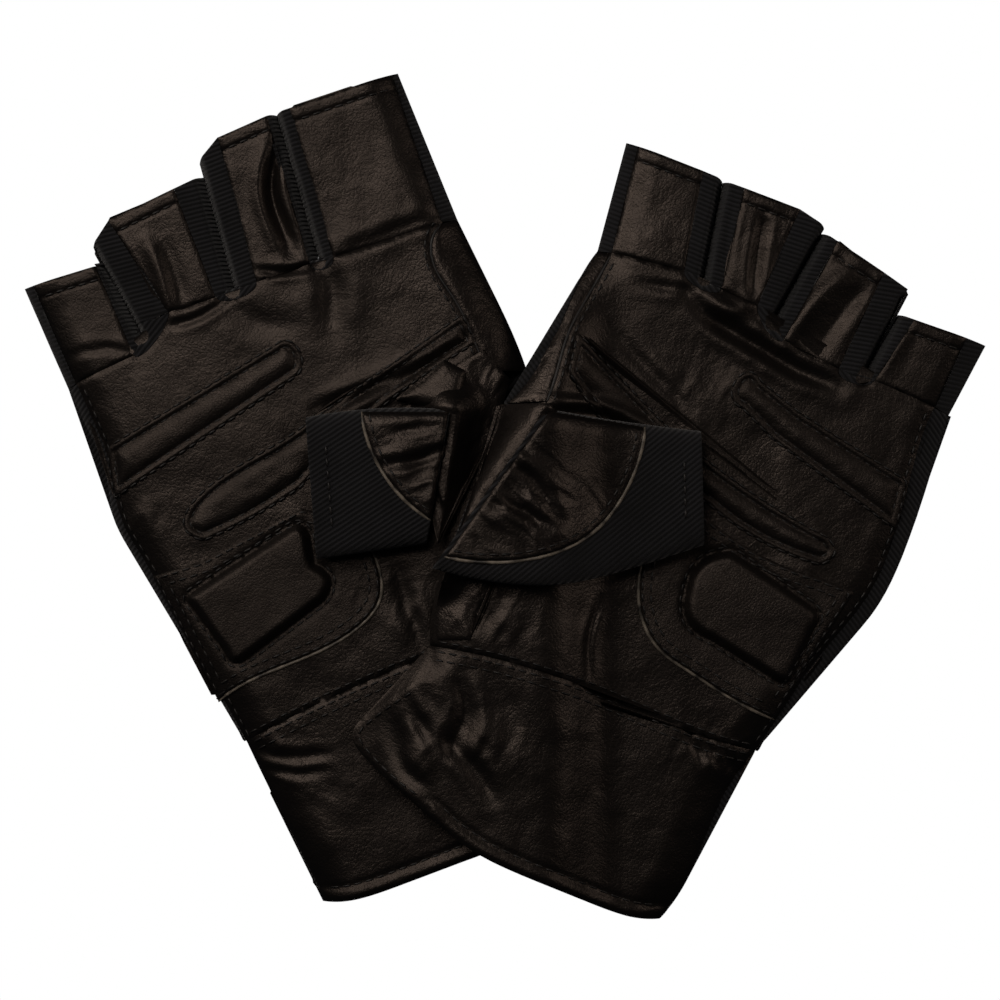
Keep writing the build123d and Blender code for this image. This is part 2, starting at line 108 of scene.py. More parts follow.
def smooth_line(line: Line, step: float = 1.0) -> np.ndarray:
    """A smooth curve through a few points.

    Args:
        line: the points to pass through.
        step: the spacing of the result.

    Returns:
        Points along a Catmull-Rom curve.
    """
    pts = as_points(line)
    if len(pts) < 3:
        count = max(2, int(np.linalg.norm(pts[1] - pts[0]) / step))
        share = np.linspace(0, 1, count)[:, None]
        return pts[0] * (1 - share) + pts[1] * share
    ends = np.vstack([2 * pts[0] - pts[1], pts, 2 * pts[-1] - pts[-2]])
    out = []
    for p0, p1, p2, p3 in zip(ends, ends[1:], ends[2:], ends[3:]):
        count = max(2, int(np.linalg.norm(p2 - p1) / step))
        t = np.linspace(0, 1, count, endpoint=False)[:, None]
        out.append(0.5 * (2 * p1 + (p2 - p0) * t + (2 * p0 - 5 * p1 + 4 * p2 - p3) * t**2
                          + (3 * p1 - p0 - 3 * p2 + p3) * t**3))
    return np.vstack([*out, pts[-1:]])


def distance(points: np.ndarray, line: np.ndarray) -> tuple[np.ndarray, np.ndarray]:
    """How far points are from an open line.

    Args:
        points: the points, as an N by 2 array.
        line: the line's points.

    Returns:
        The distance of each point, and how far along the line its nearest place is, from 0 to 1.
    """
    best = np.full(len(points), 1e9)
    where = np.zeros(len(points))
    lengths = np.linalg.norm(np.diff(line, axis=0), axis=1)
    total = max(lengths.sum(), 1e-9)
    done = 0.0
    for a, b, length in zip(line, line[1:], lengths):
        if length < 1e-9:
            continue
        t = np.clip((points - a) @ (b - a) / length**2, 0, 1)
        d = np.linalg.norm(points - a - t[:, None] * (b - a), axis=1)
        nearer = d < best
        best[nearer] = d[nearer]
        where[nearer] = (done + t[nearer] * length) / total
        done += length
    return best, where


def ring(loop: np.ndarray) -> np.ndarray:
    """A closed loop with its first point repeated at the end."""
    return np.vstack([loop, loop[:1]])


def inside(points: np.ndarray, loop: np.ndarray) -> np.ndarray:
    """Which points lie inside a closed loop."""
    hit = np.zeros(len(points), bool)
    x, y = points[:, 0], points[:, 1]
    for (x0, y0), (x1, y1) in zip(loop, np.roll(loop, -1, axis=0)):
        if y0 == y1:
            continue
        crosses = (y0 > y) != (y1 > y)
        hit ^= crosses & (x < (x1 - x0) * (y - y0) / (y1 - y0) + x0)
    return hit


def corners_of(loop: np.ndarray, turn: float = 24.0) -> list[int]:
    """Places in a closed loop where it turns sharply, in degrees."""
    before = loop - np.roll(loop, 1, axis=0)
    after = np.roll(loop, -1, axis=0) - loop
    angle = np.degrees(np.abs(np.arctan2(before[:, 0] * after[:, 1] - before[:, 1] * after[:, 0],
                                         (before * after).sum(axis=1))))
    return [int(i) for i in np.nonzero(angle > turn)[0]]


def resample(loop: np.ndarray, step: float) -> np.ndarray:
    """A closed loop with even spacing that keeps its corners."""
    marks = corners_of(loop) or [0]
    out = []
    for start, end in zip(marks, marks[1:] + [marks[0] + len(loop)]):
        span = loop[[i % len(loop) for i in range(start, end + 1)]]
        along = np.concatenate([[0], np.cumsum(np.linalg.norm(np.diff(span, axis=0), axis=1))])
        count = max(1, round(along[-1] / step))
        at = np.linspace(0, along[-1], count + 1)[:-1]
        out.append(np.stack([np.interp(at, along, span[:, 0]), np.interp(at, along, span[:, 1])], axis=1))
    return np.vstack(out)


def counter_clockwise(loop: np.ndarray) -> np.ndarray:
    """The loop, turned round if it runs clockwise."""
    x, y = loop[:, 0], loop[:, 1]
    area = (x * np.roll(y, -1) - np.roll(x, -1) * y).sum()
    return loop if area > 0 else loop[::-1]


def inset(loop: np.ndarray, amount: float) -> np.ndarray:
    """Points a distance inside a closed loop, leaving out those that would cross at its corners."""
    loop = counter_clockwise(resample(loop, 0.8))
    along = np.roll(loop, -1, axis=0) - np.roll(loop, 1, axis=0)
    along /= np.linalg.norm(along, axis=1)[:, None]
    moved = loop + amount * np.stack([-along[:, 1], along[:, 0]], axis=1)
    far, _ = distance(moved, ring(loop))
    return moved[far > 0.93 * abs(amount)]


def route(loop: np.ndarray, start: np.ndarray, end: np.ndarray, away: np.ndarray) -> np.ndarray:
    """The stretch of a closed loop between two places that keeps away from a third."""
    first = int(np.argmin(np.linalg.norm(loop - start, axis=1)))
    last = int(np.argmin(np.linalg.norm(loop - end, axis=1)))
    ways = []
    for order in (1, -1):
        count = (last - first) * order % len(loop)
        ways.append(loop[[(first + order * i) % len(loop) for i in range(count + 1)]])
    gaps = [np.linalg.norm(way - away, axis=1).min() for way in ways]
    return ways[int(np.argmax(gaps))]


def hashed(ix: np.ndarray, iy: np.ndarray, seed: int) -> np.ndarray:
    """A repeatable number from -1 to 1 for each cell of a lattice."""
    h = (ix.astype(np.int64) * 374761393 + iy.astype(np.int64) * 668265263 + seed * 974711) & 0xFFFFFFFF
    h = ((h ^ (h >> 13)) * 1274126177) & 0xFFFFFFFF
    return ((h ^ (h >> 16)) & 0xFFFF) / 32767.5 - 1


def noise(points: np.ndarray, size: float, seed: int) -> np.ndarray:
    """Smooth repeatable noise from -1 to 1 with features of a size."""
    p = points / size
    cell = np.floor(p)
    f = p - cell
    f = f * f * f * (f * (f * 6 - 15) + 10)
    ix, iy = cell[:, 0], cell[:, 1]
    low = hashed(ix, iy, seed) * (1 - f[:, 0]) + hashed(ix + 1, iy, seed) * f[:, 0]
    high = hashed(ix, iy + 1, seed) * (1 - f[:, 0]) + hashed(ix + 1, iy + 1, seed) * f[:, 0]
    return low * (1 - f[:, 1]) + high * f[:, 1]


@dataclass(frozen=True)
class Crease:
    """A fold line pressed into a surface, or raised above it where its depth is negative."""

    line: Line
    depth: float
    width: float
    lip: float = 0.35

    def height(self, points: np.ndarray) -> np.ndarray:
        """How far the crease moves the surface at each point."""
        far, along = distance(points, smooth_line(self.line, 1.5))
        fade = np.sqrt(np.clip(np.sin(math.pi * np.clip(along, 0.02, 0.98)), 0, 1))
        valley = -self.depth * np.exp(-((far / self.width) ** 2))
        lips = self.lip * self.depth * np.exp(-(((far - 1.9 * self.width) / self.width) ** 2))
        return (valley + lips) * fade


@dataclass(frozen=True)
class Crumple:
    """A place where the surface is crushed into small ridges that run one way."""

    centre: tuple[float, float]
    reach: tuple[float, float]
    height_mm: float
    size: float
    angle: float = 0.0
    stretch: float = 2.2

    def height(self, points: np.ndarray) -> np.ndarray:
        """How far the crumpling moves the surface at each point."""
        a = math.radians(self.angle)
        turned = (points - np.array(self.centre)) @ np.array([[math.cos(a), -math.sin(a)],
                                                              [math.sin(a), math.cos(a)]])
        mask = np.exp(-((turned[:, 0] / self.reach[0]) ** 2 + (turned[:, 1] / self.reach[1]) ** 2))
        bend = 0.5 * self.size * noise(turned, self.size * 2.3, 5)
        grid = turned / np.array([self.stretch, 1.0]) + bend[:, None]
        ridges = 1 - 2 * np.abs(noise(grid, self.size, 11))
        small = 1 - 2 * np.abs(noise(grid, self.size * 0.45, 23))
        return self.height_mm * mask * (0.7 * ridges + 0.3 * small)


@dataclass
class Cloth:
    """One piece of leather or knit: its outline, its height over the plan and how it is cut."""

    name: str
    loop: np.ndarray
    height: Heights
    thickness: float
    step: float = MEDIUM
    edge_drop: float = 0.35
    edge_width: float = 0.9
    upwards: bool = False

    def mesh(self) -> bpy.types.Mesh:
        """The piece as a closed sheet of even thickness, its edges rounded over."""
        loop = resample(counter_clockwise(self.loop), self.step)
        low, high = loop.min(axis=0), loop.max(axis=0)
        rows = np.arange(low[1], high[1], self.step * math.sqrt(0.75))
        grid = [np.stack([np.arange(low[0] + (i % 2) * self.step / 2, high[0], self.step),
                          np.full(len(np.arange(low[0] + (i % 2) * self.step / 2, high[0], self.step)), y)],
                          axis=1)
                for i, y in enumerate(rows)]
        grid = np.vstack(grid)
        grid = grid[inside(grid, loop)]
        far, _ = distance(grid, ring(loop))
        grid = grid[far > 0.6 * self.step]
        flat = np.vstack([loop, grid])
        edges = [(i, (i + 1) % len(loop)) for i in range(len(loop))]
        made = delaunay_2d_cdt([Vector(p) for p in flat], edges, [list(range(len(loop)))], 1, 1e-6, False)
        plan = np.array([tuple(v) for v in made[0]])
        faces = np.array([f for f in made[2] if len(f) == 3])
        far, _ = distance(plan, ring(loop))
        drop = self.edge_drop * np.clip(1 - far / self.edge_width, 0, 1) ** 2
        z = self.height(plan) + (drop if self.upwards else -drop)
        outer = np.column_stack([plan, z])
        return thick_mesh(self.name, outer, faces, -self.thickness if not self.upwards else self.thickness)


def vertex_normals(points: np.ndarray, faces: np.ndarray) -> np.ndarray:
    """The mean normal at each vertex of a triangle mesh."""
    a, b, c = points[faces[:, 0]], points[faces[:, 1]], points[faces[:, 2]]
    across = np.cross(b - a, c - a)
    normals = np.zeros_like(points)
    for i in range(3):
        np.add.at(normals, faces[:, i], across)
    return normals / np.maximum(np.linalg.norm(normals, axis=1), 1e-12)[:, None]


def thick_mesh(name: str, outer: np.ndarray, faces: np.ndarray, thickness: float) -> bpy.types.Mesh:
    """A sheet given thickness along its normals.

    Args:
        name: the mesh's name.
        outer: the vertices of the sheet, in millimetres.
        faces: its triangles, counter-clockwise seen from above.
        thickness: how far the second face lies from the first; negative is below it.

    Returns:
        The closed mesh, in metres.
    """
    normals = vertex_normals(outer, faces)
    normals[:, 2] = np.maximum(normals[:, 2], 0.35)
    second = outer + normals / np.linalg.norm(normals, axis=1)[:, None] * thickness
    count = len(outer)
    pairs = np.sort(np.vstack([faces[:, [0, 1]], faces[:, [1, 2]], faces[:, [2, 0]]]), axis=1)
    directed = np.vstack([faces[:, [0, 1]], faces[:, [1, 2]], faces[:, [2, 0]]])
    _, index, times = np.unique(pairs, axis=0, return_index=True, return_counts=True)
    border = directed[index[times == 1]]
    sides = np.column_stack([border[:, 1], border[:, 0], border[:, 0] + count, border[:, 1] + count])
    top, bottom = faces, faces[:, ::-1] + count
    if thickness > 0:
        top, bottom, sides = faces[:, ::-1], faces + count, sides[:, ::-1]
    mesh = bpy.data.meshes.new(name)
    vertices = np.vstack([outer, second]) * MM
    mesh.from_pydata(vertices.tolist(), [], top.tolist() + bottom.tolist() + sides.tolist())
    mesh.polygons.foreach_set("use_smooth", np.ones(len(mesh.polygons), bool))
    mesh.set_sharp_from_angle(angle=math.radians(62))
    mesh.update()
    return mesh


def piece(name: str, mesh: bpy.types.Mesh, finish: bpy.types.Material, body: str,
          replaces: Sequence[str] = ()) -> bpy.types.Object:
    """Puts a finished mesh in the scene and ties it to its body.

    Args:
        name: the piece's name.
        mesh: its mesh, in metres in the row frame.
        finish: its material.
        body: the body that it rides on, or an empty name to leave it unattached.
        replaces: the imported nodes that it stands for.

    Returns:
        The new object.
    """
    obj = bpy.data.objects.new(name, mesh)
    bpy.context.scene.collection.objects.link(obj)
    mesh.materials.append(finish)
    if body:
        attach(obj, body)
    if replaces:
        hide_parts(*replaces)
    LOG.info("%s: %d faces", name, len(mesh.polygons))
    return obj


def flat(points: np.ndarray) -> np.ndarray:
    """No climb at all, as under the fingers."""
    return np.zeros(len(points))


def plan_outline(node: str, rise: Heights, side: Side = Side.TOP) -> np.ndarray:
    """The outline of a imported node's top or bottom face, seen from above.

    Args:
        node: the node's name.
        rise: the glove's climb over the plan.
        side: which face to take.

    Returns:
        The outline as a counter-clockwise loop of points.
    """
    data = frame["nodes"][node].data
    data.calc_loop_triangles()
    points = np.zeros(len(data.vertices) * 3)
    data.vertices.foreach_get("co", points)
    points = points.reshape(-1, 3) / MM
    tris = np.zeros(len(data.loop_triangles) * 3, int)
    data.loop_triangles.foreach_get("vertices", tris)
    tris = tris.reshape(-1, 3)
    level = (points[:, 2] - rise(points[:, :2])) * side.value
    a, b, c = (points[tris[:, i]] for i in range(3))
    across = np.cross(b - a, c - a)
    steep = across[:, 2] * side.value / np.maximum(np.linalg.norm(across, axis=1), 1e-12)
    keep = (steep > 0.15) & (level[tris].min(axis=1) > level.max() - 0.3)
    names: dict[tuple, int] = {}
    weld = np.array([names.setdefault(tuple(np.round(p[:2], 2)), len(names)) for p in points])
    places = np.array(list(names))
    follow: dict[int, int] = {}
    edges = set()
    for tri in weld[tris[keep]]:
        for i in range(3):
            edges.add((int(tri[i]), int(tri[(i + 1) % 3])))
    for start, end in edges:
        if (end, start) not in edges and start != end:
            follow[start] = end
    loops = []
    while follow:
        start = next(iter(follow))
        chain = [start]
        while chain[-1] in follow:
            following = follow.pop(chain[-1])
            if following == start:
                break
            chain.append(following)
        loops.append(places[chain])
    return counter_clockwise(max(loops, key=lambda l: np.linalg.norm(np.ptp(l, axis=0))))


# Materials


def linear(hex_colour: str) -> tuple[float, float, float, float]:
    """An sRGB hex colour as linear red, green, blue and alpha."""
    parts = [int(hex_colour[i:i + 2], 16) / 255 for i in (1, 3, 5)]
    return (*[p / 12.92 if p <= 0.04045 else ((p + 0.055) / 1.055) ** 2.4 for p in parts], 1.0)


def add_node(material: bpy.types.Material, kind: str, settings: Optional[dict] = None,
             **links: object) -> bpy.types.Node:
    """Adds one shader node.

    Args:
        material: the material to add it to.
        kind: the node's type name.
        settings: attributes to set on the node itself.
        **links: values or output sockets for its inputs, by name with underscores for spaces.

    Returns:
        The new node.
    """
    node = material.node_tree.nodes.new(kind)
    for key, value in (settings or {}).items():
        setattr(node, key, value)
    for key, value in links.items():
        socket = (node.inputs[int(key[1:])] if key[0] == "i" and key[1:].isdigit()
                  else node.inputs[key.replace("_", " ")])
        if isinstance(value, bpy.types.NodeSocket):
            material.node_tree.links.new(value, socket)
        else:
            socket.default_value = value
    return node


def new_material(name: str) -> tuple[bpy.types.Material, bpy.types.Node, bpy.types.NodeSocket]:
    """An empty node material, its main shader and the row-frame coordinates in metres."""
    material = bpy.data.materials.new(name)
    material.use_nodes = True
    material.node_tree.nodes.clear()
    shader = add_node(material, "ShaderNodeBsdfPrincipled")
    add_node(material, "ShaderNodeOutputMaterial", Surface=shader.outputs["BSDF"])
    place = add_node(material, "ShaderNodeTexCoord").outputs["Object"]
    return material, shader, place


@dataclass(frozen=True)
class NappaLeather:
    """Soft aniline-dyed sheep nappa, drum dyed black: a fine pebbled grain with a low warm gloss."""

    name: str
    dark: str = "#080808"
    light: str = "#151312"
    grain_mm: float = 1.1
    gloss: float = 0.4
    grain_depth: float = 0.08
    warmth: str = "#ffe9da"

    def make(self) -> bpy.types.Material:
        """The material: cells for the grain, broad patches of wear, and fine pores."""
        material, shader, place = new_material(self.name)
        broad = add_node(material, "ShaderNodeTexNoise", Vector=place, Scale=1 / (22 * MM), Detail=5.0,
                         Roughness=0.62)
        cells = add_node(material, "ShaderNodeTexVoronoi", {"feature": "DISTANCE_TO_EDGE"}, Vector=place,
                         Scale=1 / (self.grain_mm * MM))
        fine = add_node(material, "ShaderNodeTexNoise", Vector=place, Scale=1 / (0.45 * MM), Detail=3.0)
        wrinkle = add_node(material, "ShaderNodeTexNoise", Vector=place, Scale=1 / (4.2 * MM), Detail=6.0,
                           Roughness=0.66, Distortion=0.6)
        shade = add_node(material, "ShaderNodeMapRange", Value=broad.outputs["Fac"], From_Min=0.34,
                         From_Max=0.68)
        colour = add_node(material, "ShaderNodeMix", {"data_type": "RGBA"}, i0=shade.outputs["Result"],
                          i6=linear(self.dark), i7=linear(self.light))
        material.node_tree.links.new(colour.outputs[2], shader.inputs["Base Color"])
        gloss = add_node(material, "ShaderNodeMapRange", Value=broad.outputs["Fac"], From_Min=0.3,
                         From_Max=0.7,
                         To_Min=self.gloss + 0.07, To_Max=self.gloss - 0.07)
        material.node_tree.links.new(gloss.outputs["Result"], shader.inputs["Roughness"])
        edge = add_node(material, "ShaderNodeMapRange", Value=cells.outputs["Distance"], From_Min=0.0,
                        From_Max=0.22)
        pores = add_node(material, "ShaderNodeMath", {"operation": "MULTIPLY_ADD"}, i0=fine.outputs["Fac"],
                         i1=0.35,
                         i2=edge.outputs["Result"])
        grain = add_node(material, "ShaderNodeBump", Strength=0.35, Distance=self.grain_depth * MM,
                         Height=pores.outputs["Value"])
        folds = add_node(material, "ShaderNodeBump", Strength=0.5, Distance=0.5 * MM,
                         Height=wrinkle.outputs["Fac"],
                         Normal=grain.outputs["Normal"])
        material.node_tree.links.new(folds.outputs["Normal"], shader.inputs["Normal"])
        shader.inputs["IOR"].default_value = 1.5
        shader.inputs["Specular Tint"].default_value = linear(self.warmth)
        return material


@dataclass(frozen=True)
class StretchTwill:
    """Polyester and elastane twill, woven black: matt, with raised diagonal ribs."""

    name: str
    angle: float
    dark: str = "#0a0a0b"
    light: str = "#242427"
    rib_mm: float = 1.15

    def make(self) -> bpy.types.Material:
        """The material: ribs drawn a little coarser than real thread so that they show, and loose fibre."""
        material, shader, place = new_material(self.name)
        turned = add_node(material, "ShaderNodeMapping", Vector=place,
                          Rotation=(0, 0, math.radians(self.angle)))
        wave = add_node(material, "ShaderNodeTexWave", {"wave_type": "BANDS", "bands_direction": "X"},
                        Vector=turned.outputs["Vector"], Scale=1 / (self.rib_mm * MM) * math.pi / 10,
                        Distortion=0.5, Detail=1.0, Detail_Scale=1.4)
        thread = add_node(material, "ShaderNodeTexNoise", Vector=place, Scale=1 / (0.35 * MM), Detail=2.0)
        broad = add_node(material, "ShaderNodeTexNoise", Vector=place, Scale=1 / (14 * MM), Detail=4.0)
        mixed = add_node(material, "ShaderNodeMath", {"operation": "MULTIPLY_ADD"}, i0=thread.outputs["Fac"],
                         i1=0.45, i2=wave.outputs["Fac"])
        worn = add_node(material, "ShaderNodeMath", {"operation": "MULTIPLY"}, i0=mixed.outputs["Value"],
                        i1=broad.outputs["Fac"])
        shade = add_node(material, "ShaderNodeMapRange", Value=worn.outputs["Value"], From_Min=0.1,
                         From_Max=0.62)
        colour = add_node(material, "ShaderNodeMix", {"data_type": "RGBA"}, i0=shade.outputs["Result"],
                          i6=linear(self.dark), i7=linear(self.light))
        material.node_tree.links.new(colour.outputs[2], shader.inputs["Base Color"])
        bump = add_node(material, "ShaderNodeBump", Strength=0.8, Distance=0.35 * MM,
                        Height=mixed.outputs["Value"])
        material.node_tree.links.new(bump.outputs["Normal"], shader.inputs["Normal"])
        shader.inputs["Roughness"].default_value = 0.92
        shader.inputs["Specular IOR Level"].default_value = 0.25
        shader.inputs["Sheen Weight"].default_value = 0.18
        shader.inputs["Sheen Roughness"].default_value = 0.5
        return material


@dataclass(frozen=True)
class Thread:
    """Bonded polyester thread, or a cut edge whose pale tone is painted highlight: twisted fibre with a soft
    shine.
    """

    name: str
    dark: str
    light: str
    roughness: float = 0.55

    def make(self) -> bpy.types.Material:
        """The material: a twist of fibre along the thread, uneven in tone."""
        material, shader, place = new_material(self.name)
        patch = add_node(material, "ShaderNodeTexNoise", Vector=place, Scale=1 / (3.5 * MM), Detail=4.0)
        twist = add_node(material, "ShaderNodeTexNoise", Vector=place, Scale=1 / (0.3 * MM), Detail=2.0)
        shade = add_node(material, "ShaderNodeMapRange", Value=patch.outputs["Fac"], From_Min=0.35,
                         From_Max=0.65)
        colour = add_node(material, "ShaderNodeMix", {"data_type": "RGBA"}, i0=shade.outputs["Result"],
                          i6=linear(self.dark), i7=linear(self.light))
        material.node_tree.links.new(colour.outputs[2], shader.inputs["Base Color"])
        bump = add_node(material, "ShaderNodeBump", Strength=0.4, Distance=0.1 * MM,
                        Height=twist.outputs["Fac"])
        material.node_tree.links.new(bump.outputs["Normal"], shader.inputs["Normal"])
        shader.inputs["Roughness"].default_value = self.roughness
        return material


@dataclass(frozen=True)
class Tape:
    """Nylon hook or loop tape: a dense pile of short bristles."""

    name: str
    colour: str
    light: str
    pile_mm: float

    def make(self) -> bpy.types.Material:
        """The material: dots of pile over a dark ground."""
        material, shader, place = new_material(self.name)
        cells = add_node(material, "ShaderNodeTexVoronoi", Vector=place, Scale=1 / (self.pile_mm * MM))
        shade = add_node(material, "ShaderNodeMapRange", Value=cells.outputs["Distance"], From_Min=0.1,
                         From_Max=0.6)
        colour = add_node(material, "ShaderNodeMix", {"data_type": "RGBA"}, i0=shade.outputs["Result"],
                          i6=linear(self.light), i7=linear(self.colour))
        material.node_tree.links.new(colour.outputs[2], shader.inputs["Base Color"])
        bump = add_node(material, "ShaderNodeBump", {"invert": True}, Strength=0.9, Distance=0.4 * MM,
                        Height=cells.outputs["Distance"])
        material.node_tree.links.new(bump.outputs["Normal"], shader.inputs["Normal"])
        shader.inputs["Roughness"].default_value = 0.8
        return material


@dataclass
class Finishes:
    """Every finish, made once."""

    palm: bpy.types.Material = field(default_factory=lambda: NappaLeather("nappa_palm").make())
    pad: bpy.types.Material = field(
        default_factory=lambda: NappaLeather("nappa_pad", grain_mm=0.8, gloss=0.48, grain_depth=0.13).make())
    soft: bpy.types.Material = field(
        default_factory=lambda: NappaLeather("nappa_worn", light="#191615", gloss=0.36).make())
    seam: bpy.types.Material = field(
        default_factory=lambda: Thread("black_bonded_thread", "#0b0a0a", "#221e1c", 0.5).make())
    # The cut edge's pale tone is a painted highlight: the light that the edge catches, laid into its colour.
    edge: bpy.types.Material = field(
        default_factory=lambda: Thread("cut_edge_painted_highlight", "#2a2622", "#8d8375", 0.45).make())
    hook: bpy.types.Material = field(default_factory=lambda: Tape("hook_tape", "#050505", "#1c1c1c",
                                                                  0.7).make())
    loop: bpy.types.Material = field(default_factory=lambda: Tape("loop_tape", "#0b0b0c", "#2a2a2c",
                                                                  0.45).make())
    knits: dict = field(default_factory=dict)

    def twill(self, angle: float) -> bpy.types.Material:
        """Twill with its ribs at an angle, shared by every piece cut that way."""
        key = round(angle)
        if key not in self.knits:
            self.knits[key] = StretchTwill(f"stretch_twill_{key % 360}", angle).make()
        return self.knits[key]


# Sewing


def stitching(name: str, lines: Sequence[np.ndarray], height: Heights) -> bpy.types.Mesh:
    """A row of sewn stitches along each line.

    Args:
        name: the mesh's name.
        lines: the lines in plan.
        height: the surface that the stitches lie on.

    Returns:
        One mesh that holds every stitch.
    """
    sides, rings = 6, ((-0.5, 0.35), (-0.3, 0.9), (0.0, 1.0), (0.3, 0.9), (0.5, 0.35))
    vertices, faces = [], []
    for line in lines:
        steps = np.linalg.norm(np.diff(line, axis=0), axis=1)
        along = np.concatenate([[0], np.cumsum(steps)])
        gaps = np.nonzero(steps > 4.0)[0]
        for at in np.arange(STITCH_PITCH, along[-1] - STITCH_PITCH / 2, STITCH_PITCH):
            if any(along[g] - STITCH_LENGTH < at < along[g + 1] + STITCH_LENGTH for g in gaps):
                continue
            spots = at + STITCH_LENGTH * np.array([r[0] for r in rings])
            path = np.stack([np.interp(spots, along, line[:, 0]), np.interp(spots, along, line[:, 1])],
                            axis=1)
            z = height(path)
            forward = path[-1] - path[0]
            forward /= max(np.linalg.norm(forward), 1e-9)
            across = np.array([-forward[1], forward[0]])
            base = len(vertices)
            for (x, y), level, (_, girth) in zip(path, z, rings):
                for i in range(sides):
                    turn = 2 * math.pi * i / sides
                    shift = THREAD * girth * math.cos(turn)
                    vertices.append((x + across[0] * shift, y + across[1] * shift,
                                     level + 0.12 * girth + THREAD * girth * math.sin(turn)))
            for j in range(len(rings) - 1):
                for i in range(sides):
                    a, b = base + j * sides + i, base + j * sides + (i + 1) % sides
                    faces.append((a, b, b + sides, a + sides))
            faces.append(tuple(base + i for i in reversed(range(sides))))
            faces.append(tuple(base + (len(rings) - 1) * sides + i for i in range(sides)))
    return simple_mesh(name, vertices, faces)


def simple_mesh(name: str, vertices: Sequence, faces: Sequence) -> bpy.types.Mesh:
    """A smooth mesh from points in millimetres."""
    mesh = bpy.data.meshes.new(name)
    mesh.from_pydata((np.array(vertices, float).reshape(-1, 3) * MM).tolist(), [], list(faces))
    mesh.polygons.foreach_set("use_smooth", np.ones(len(mesh.polygons), bool))
    mesh.update()
    return mesh


def cord_mesh(name: str, line: np.ndarray, height: Heights, radius: float,
              sink: float = 0.0) -> bpy.types.Mesh:
    """A round edge or piping that lies along a line on a surface, thinner towards its ends."""
    sides = 8
    z = height(line) - sink
    forward = np.gradient(line, axis=0)
    forward /= np.maximum(np.linalg.norm(forward, axis=1), 1e-9)[:, None]
    uneven = 1 + 0.18 * noise(line, 4.0, 31)
    vertices, faces = [], []
    for i, ((x, y), level, (fx, fy)) in enumerate(zip(line, z, forward)):
        ends = min(1.0, 0.35 + 0.22 * min(i, len(line) - 1 - i))
        girth = radius * ends * uneven[i]
        for k in range(sides):
            turn = 2 * math.pi * k / sides
            vertices.append((x - fy * girth * math.cos(turn), y + fx * girth * math.cos(turn),
                             level + girth * math.sin(turn)))
    for i in range(len(line) - 1):
        for k in range(sides):
            a, b = i * sides + k, i * sides + (k + 1) % sides
            faces.append((a, b, b + sides, a + sides))
    faces.append(tuple(reversed(range(sides))))
    faces.append(tuple((len(line) - 1) * sides + k for k in range(sides)))
    return simple_mesh(name, vertices, faces)


def bulge(far: np.ndarray, width: float) -> np.ndarray:
    """A rounded rise from 0 at an edge to 1 a width inside it."""
    return np.sin(0.5 * math.pi * np.clip(far / width, 0, 1)) ** 0.8


@dataclass
class Finger:
    """One finger stall in plan, from its packed front and back."""

    name: str
    front: np.ndarray
    back: np.ndarray
    hinge: np.ndarray
    axis: np.ndarray
    outer: Optional[str] = None

    def corner(self, loop: np.ndarray, right: bool, tip: bool) -> np.ndarray:
        """One of a four-cornered outline's corners, seen with the fingertips away."""
        out = np.array([-self.axis[1], self.axis[0]])
        spots = loop[corners_of(loop)]
        along = (spots - self.hinge) @ out
        order = np.argsort(along)
        pair = spots[order[-2:]] if tip else spots[order[:2]]
        across = pair @ self.axis
        return pair[int(np.argmax(across) if right else np.argmin(across))]

    def quad(self, loop: np.ndarray) -> tuple[np.ndarray, np.ndarray, np.ndarray, np.ndarray]:
        """Base left, base right, tip right and tip left."""
        return (self.corner(loop, False, False), self.corner(loop, True, False),
                self.corner(loop, True, True), self.corner(loop, False, True))

    def direction(self) -> np.ndarray:
        """Unit vector from the base to the tip."""
        a, b, c, d = self.quad(self.back)
        way = (c + d) / 2 - (a + b) / 2
        return way / np.linalg.norm(way)


def shifted(line: np.ndarray, amount: float) -> np.ndarray:
    """An open line moved sideways to its left by a distance."""
    forward = np.gradient(line, axis=0)
    forward /= np.maximum(np.linalg.norm(forward, axis=1), 1e-9)[:, None]
    return line + amount * np.stack([-forward[:, 1], forward[:, 0]], axis=1)


def shared(loop: np.ndarray, other: np.ndarray, within: float = 0.7) -> np.ndarray:
    """The longest stretch of a closed loop that runs along another one."""
    loop = resample(loop, 1.0)
    near = distance(loop, ring(other))[0] < within
    best: list[int] = []
    run: list[int] = []
    for i in range(2 * len(loop)):
        if near[i % len(loop)] and len(run) < len(loop):
            run.append(i % len(loop))
        else:
            run = []
        if len(run) > len(best):
            best = list(run)
    return loop[best]


def spread(line: np.ndarray, step: float) -> np.ndarray:
    """An open line with even spacing."""
    along = np.concatenate([[0], np.cumsum(np.linalg.norm(np.diff(line, axis=0), axis=1))])
    at = np.linspace(0, along[-1], max(2, round(along[-1] / step) + 1))
    return np.stack([np.interp(at, along, line[:, 0]), np.interp(at, along, line[:, 1])], axis=1)


def towards(line: np.ndarray, place: np.ndarray, amount: float) -> np.ndarray:
    """An open line moved sideways by a distance, to the side that a place lies on."""
    left, right = shifted(line, amount), shifted(line, -amount)
    middle = len(line) // 2
    return left if np.linalg.norm(left[middle] - place) < np.linalg.norm(right[middle] - place) else right


@dataclass(frozen=True)
class Pattern:
    """The values listed for one glove."""

    side: str
    climb: float
    order: tuple[str, ...]
    creases: tuple[Crease, ...]
    crumples: tuple[Crumple, ...]
    thumb_creases: tuple[Crease, ...]
    thumb_crumples: tuple[Crumple, ...]
    twill_angle: float
    cuff_floor: float
    notch: tuple[str, ...] = ()
    tongue: Line = ()


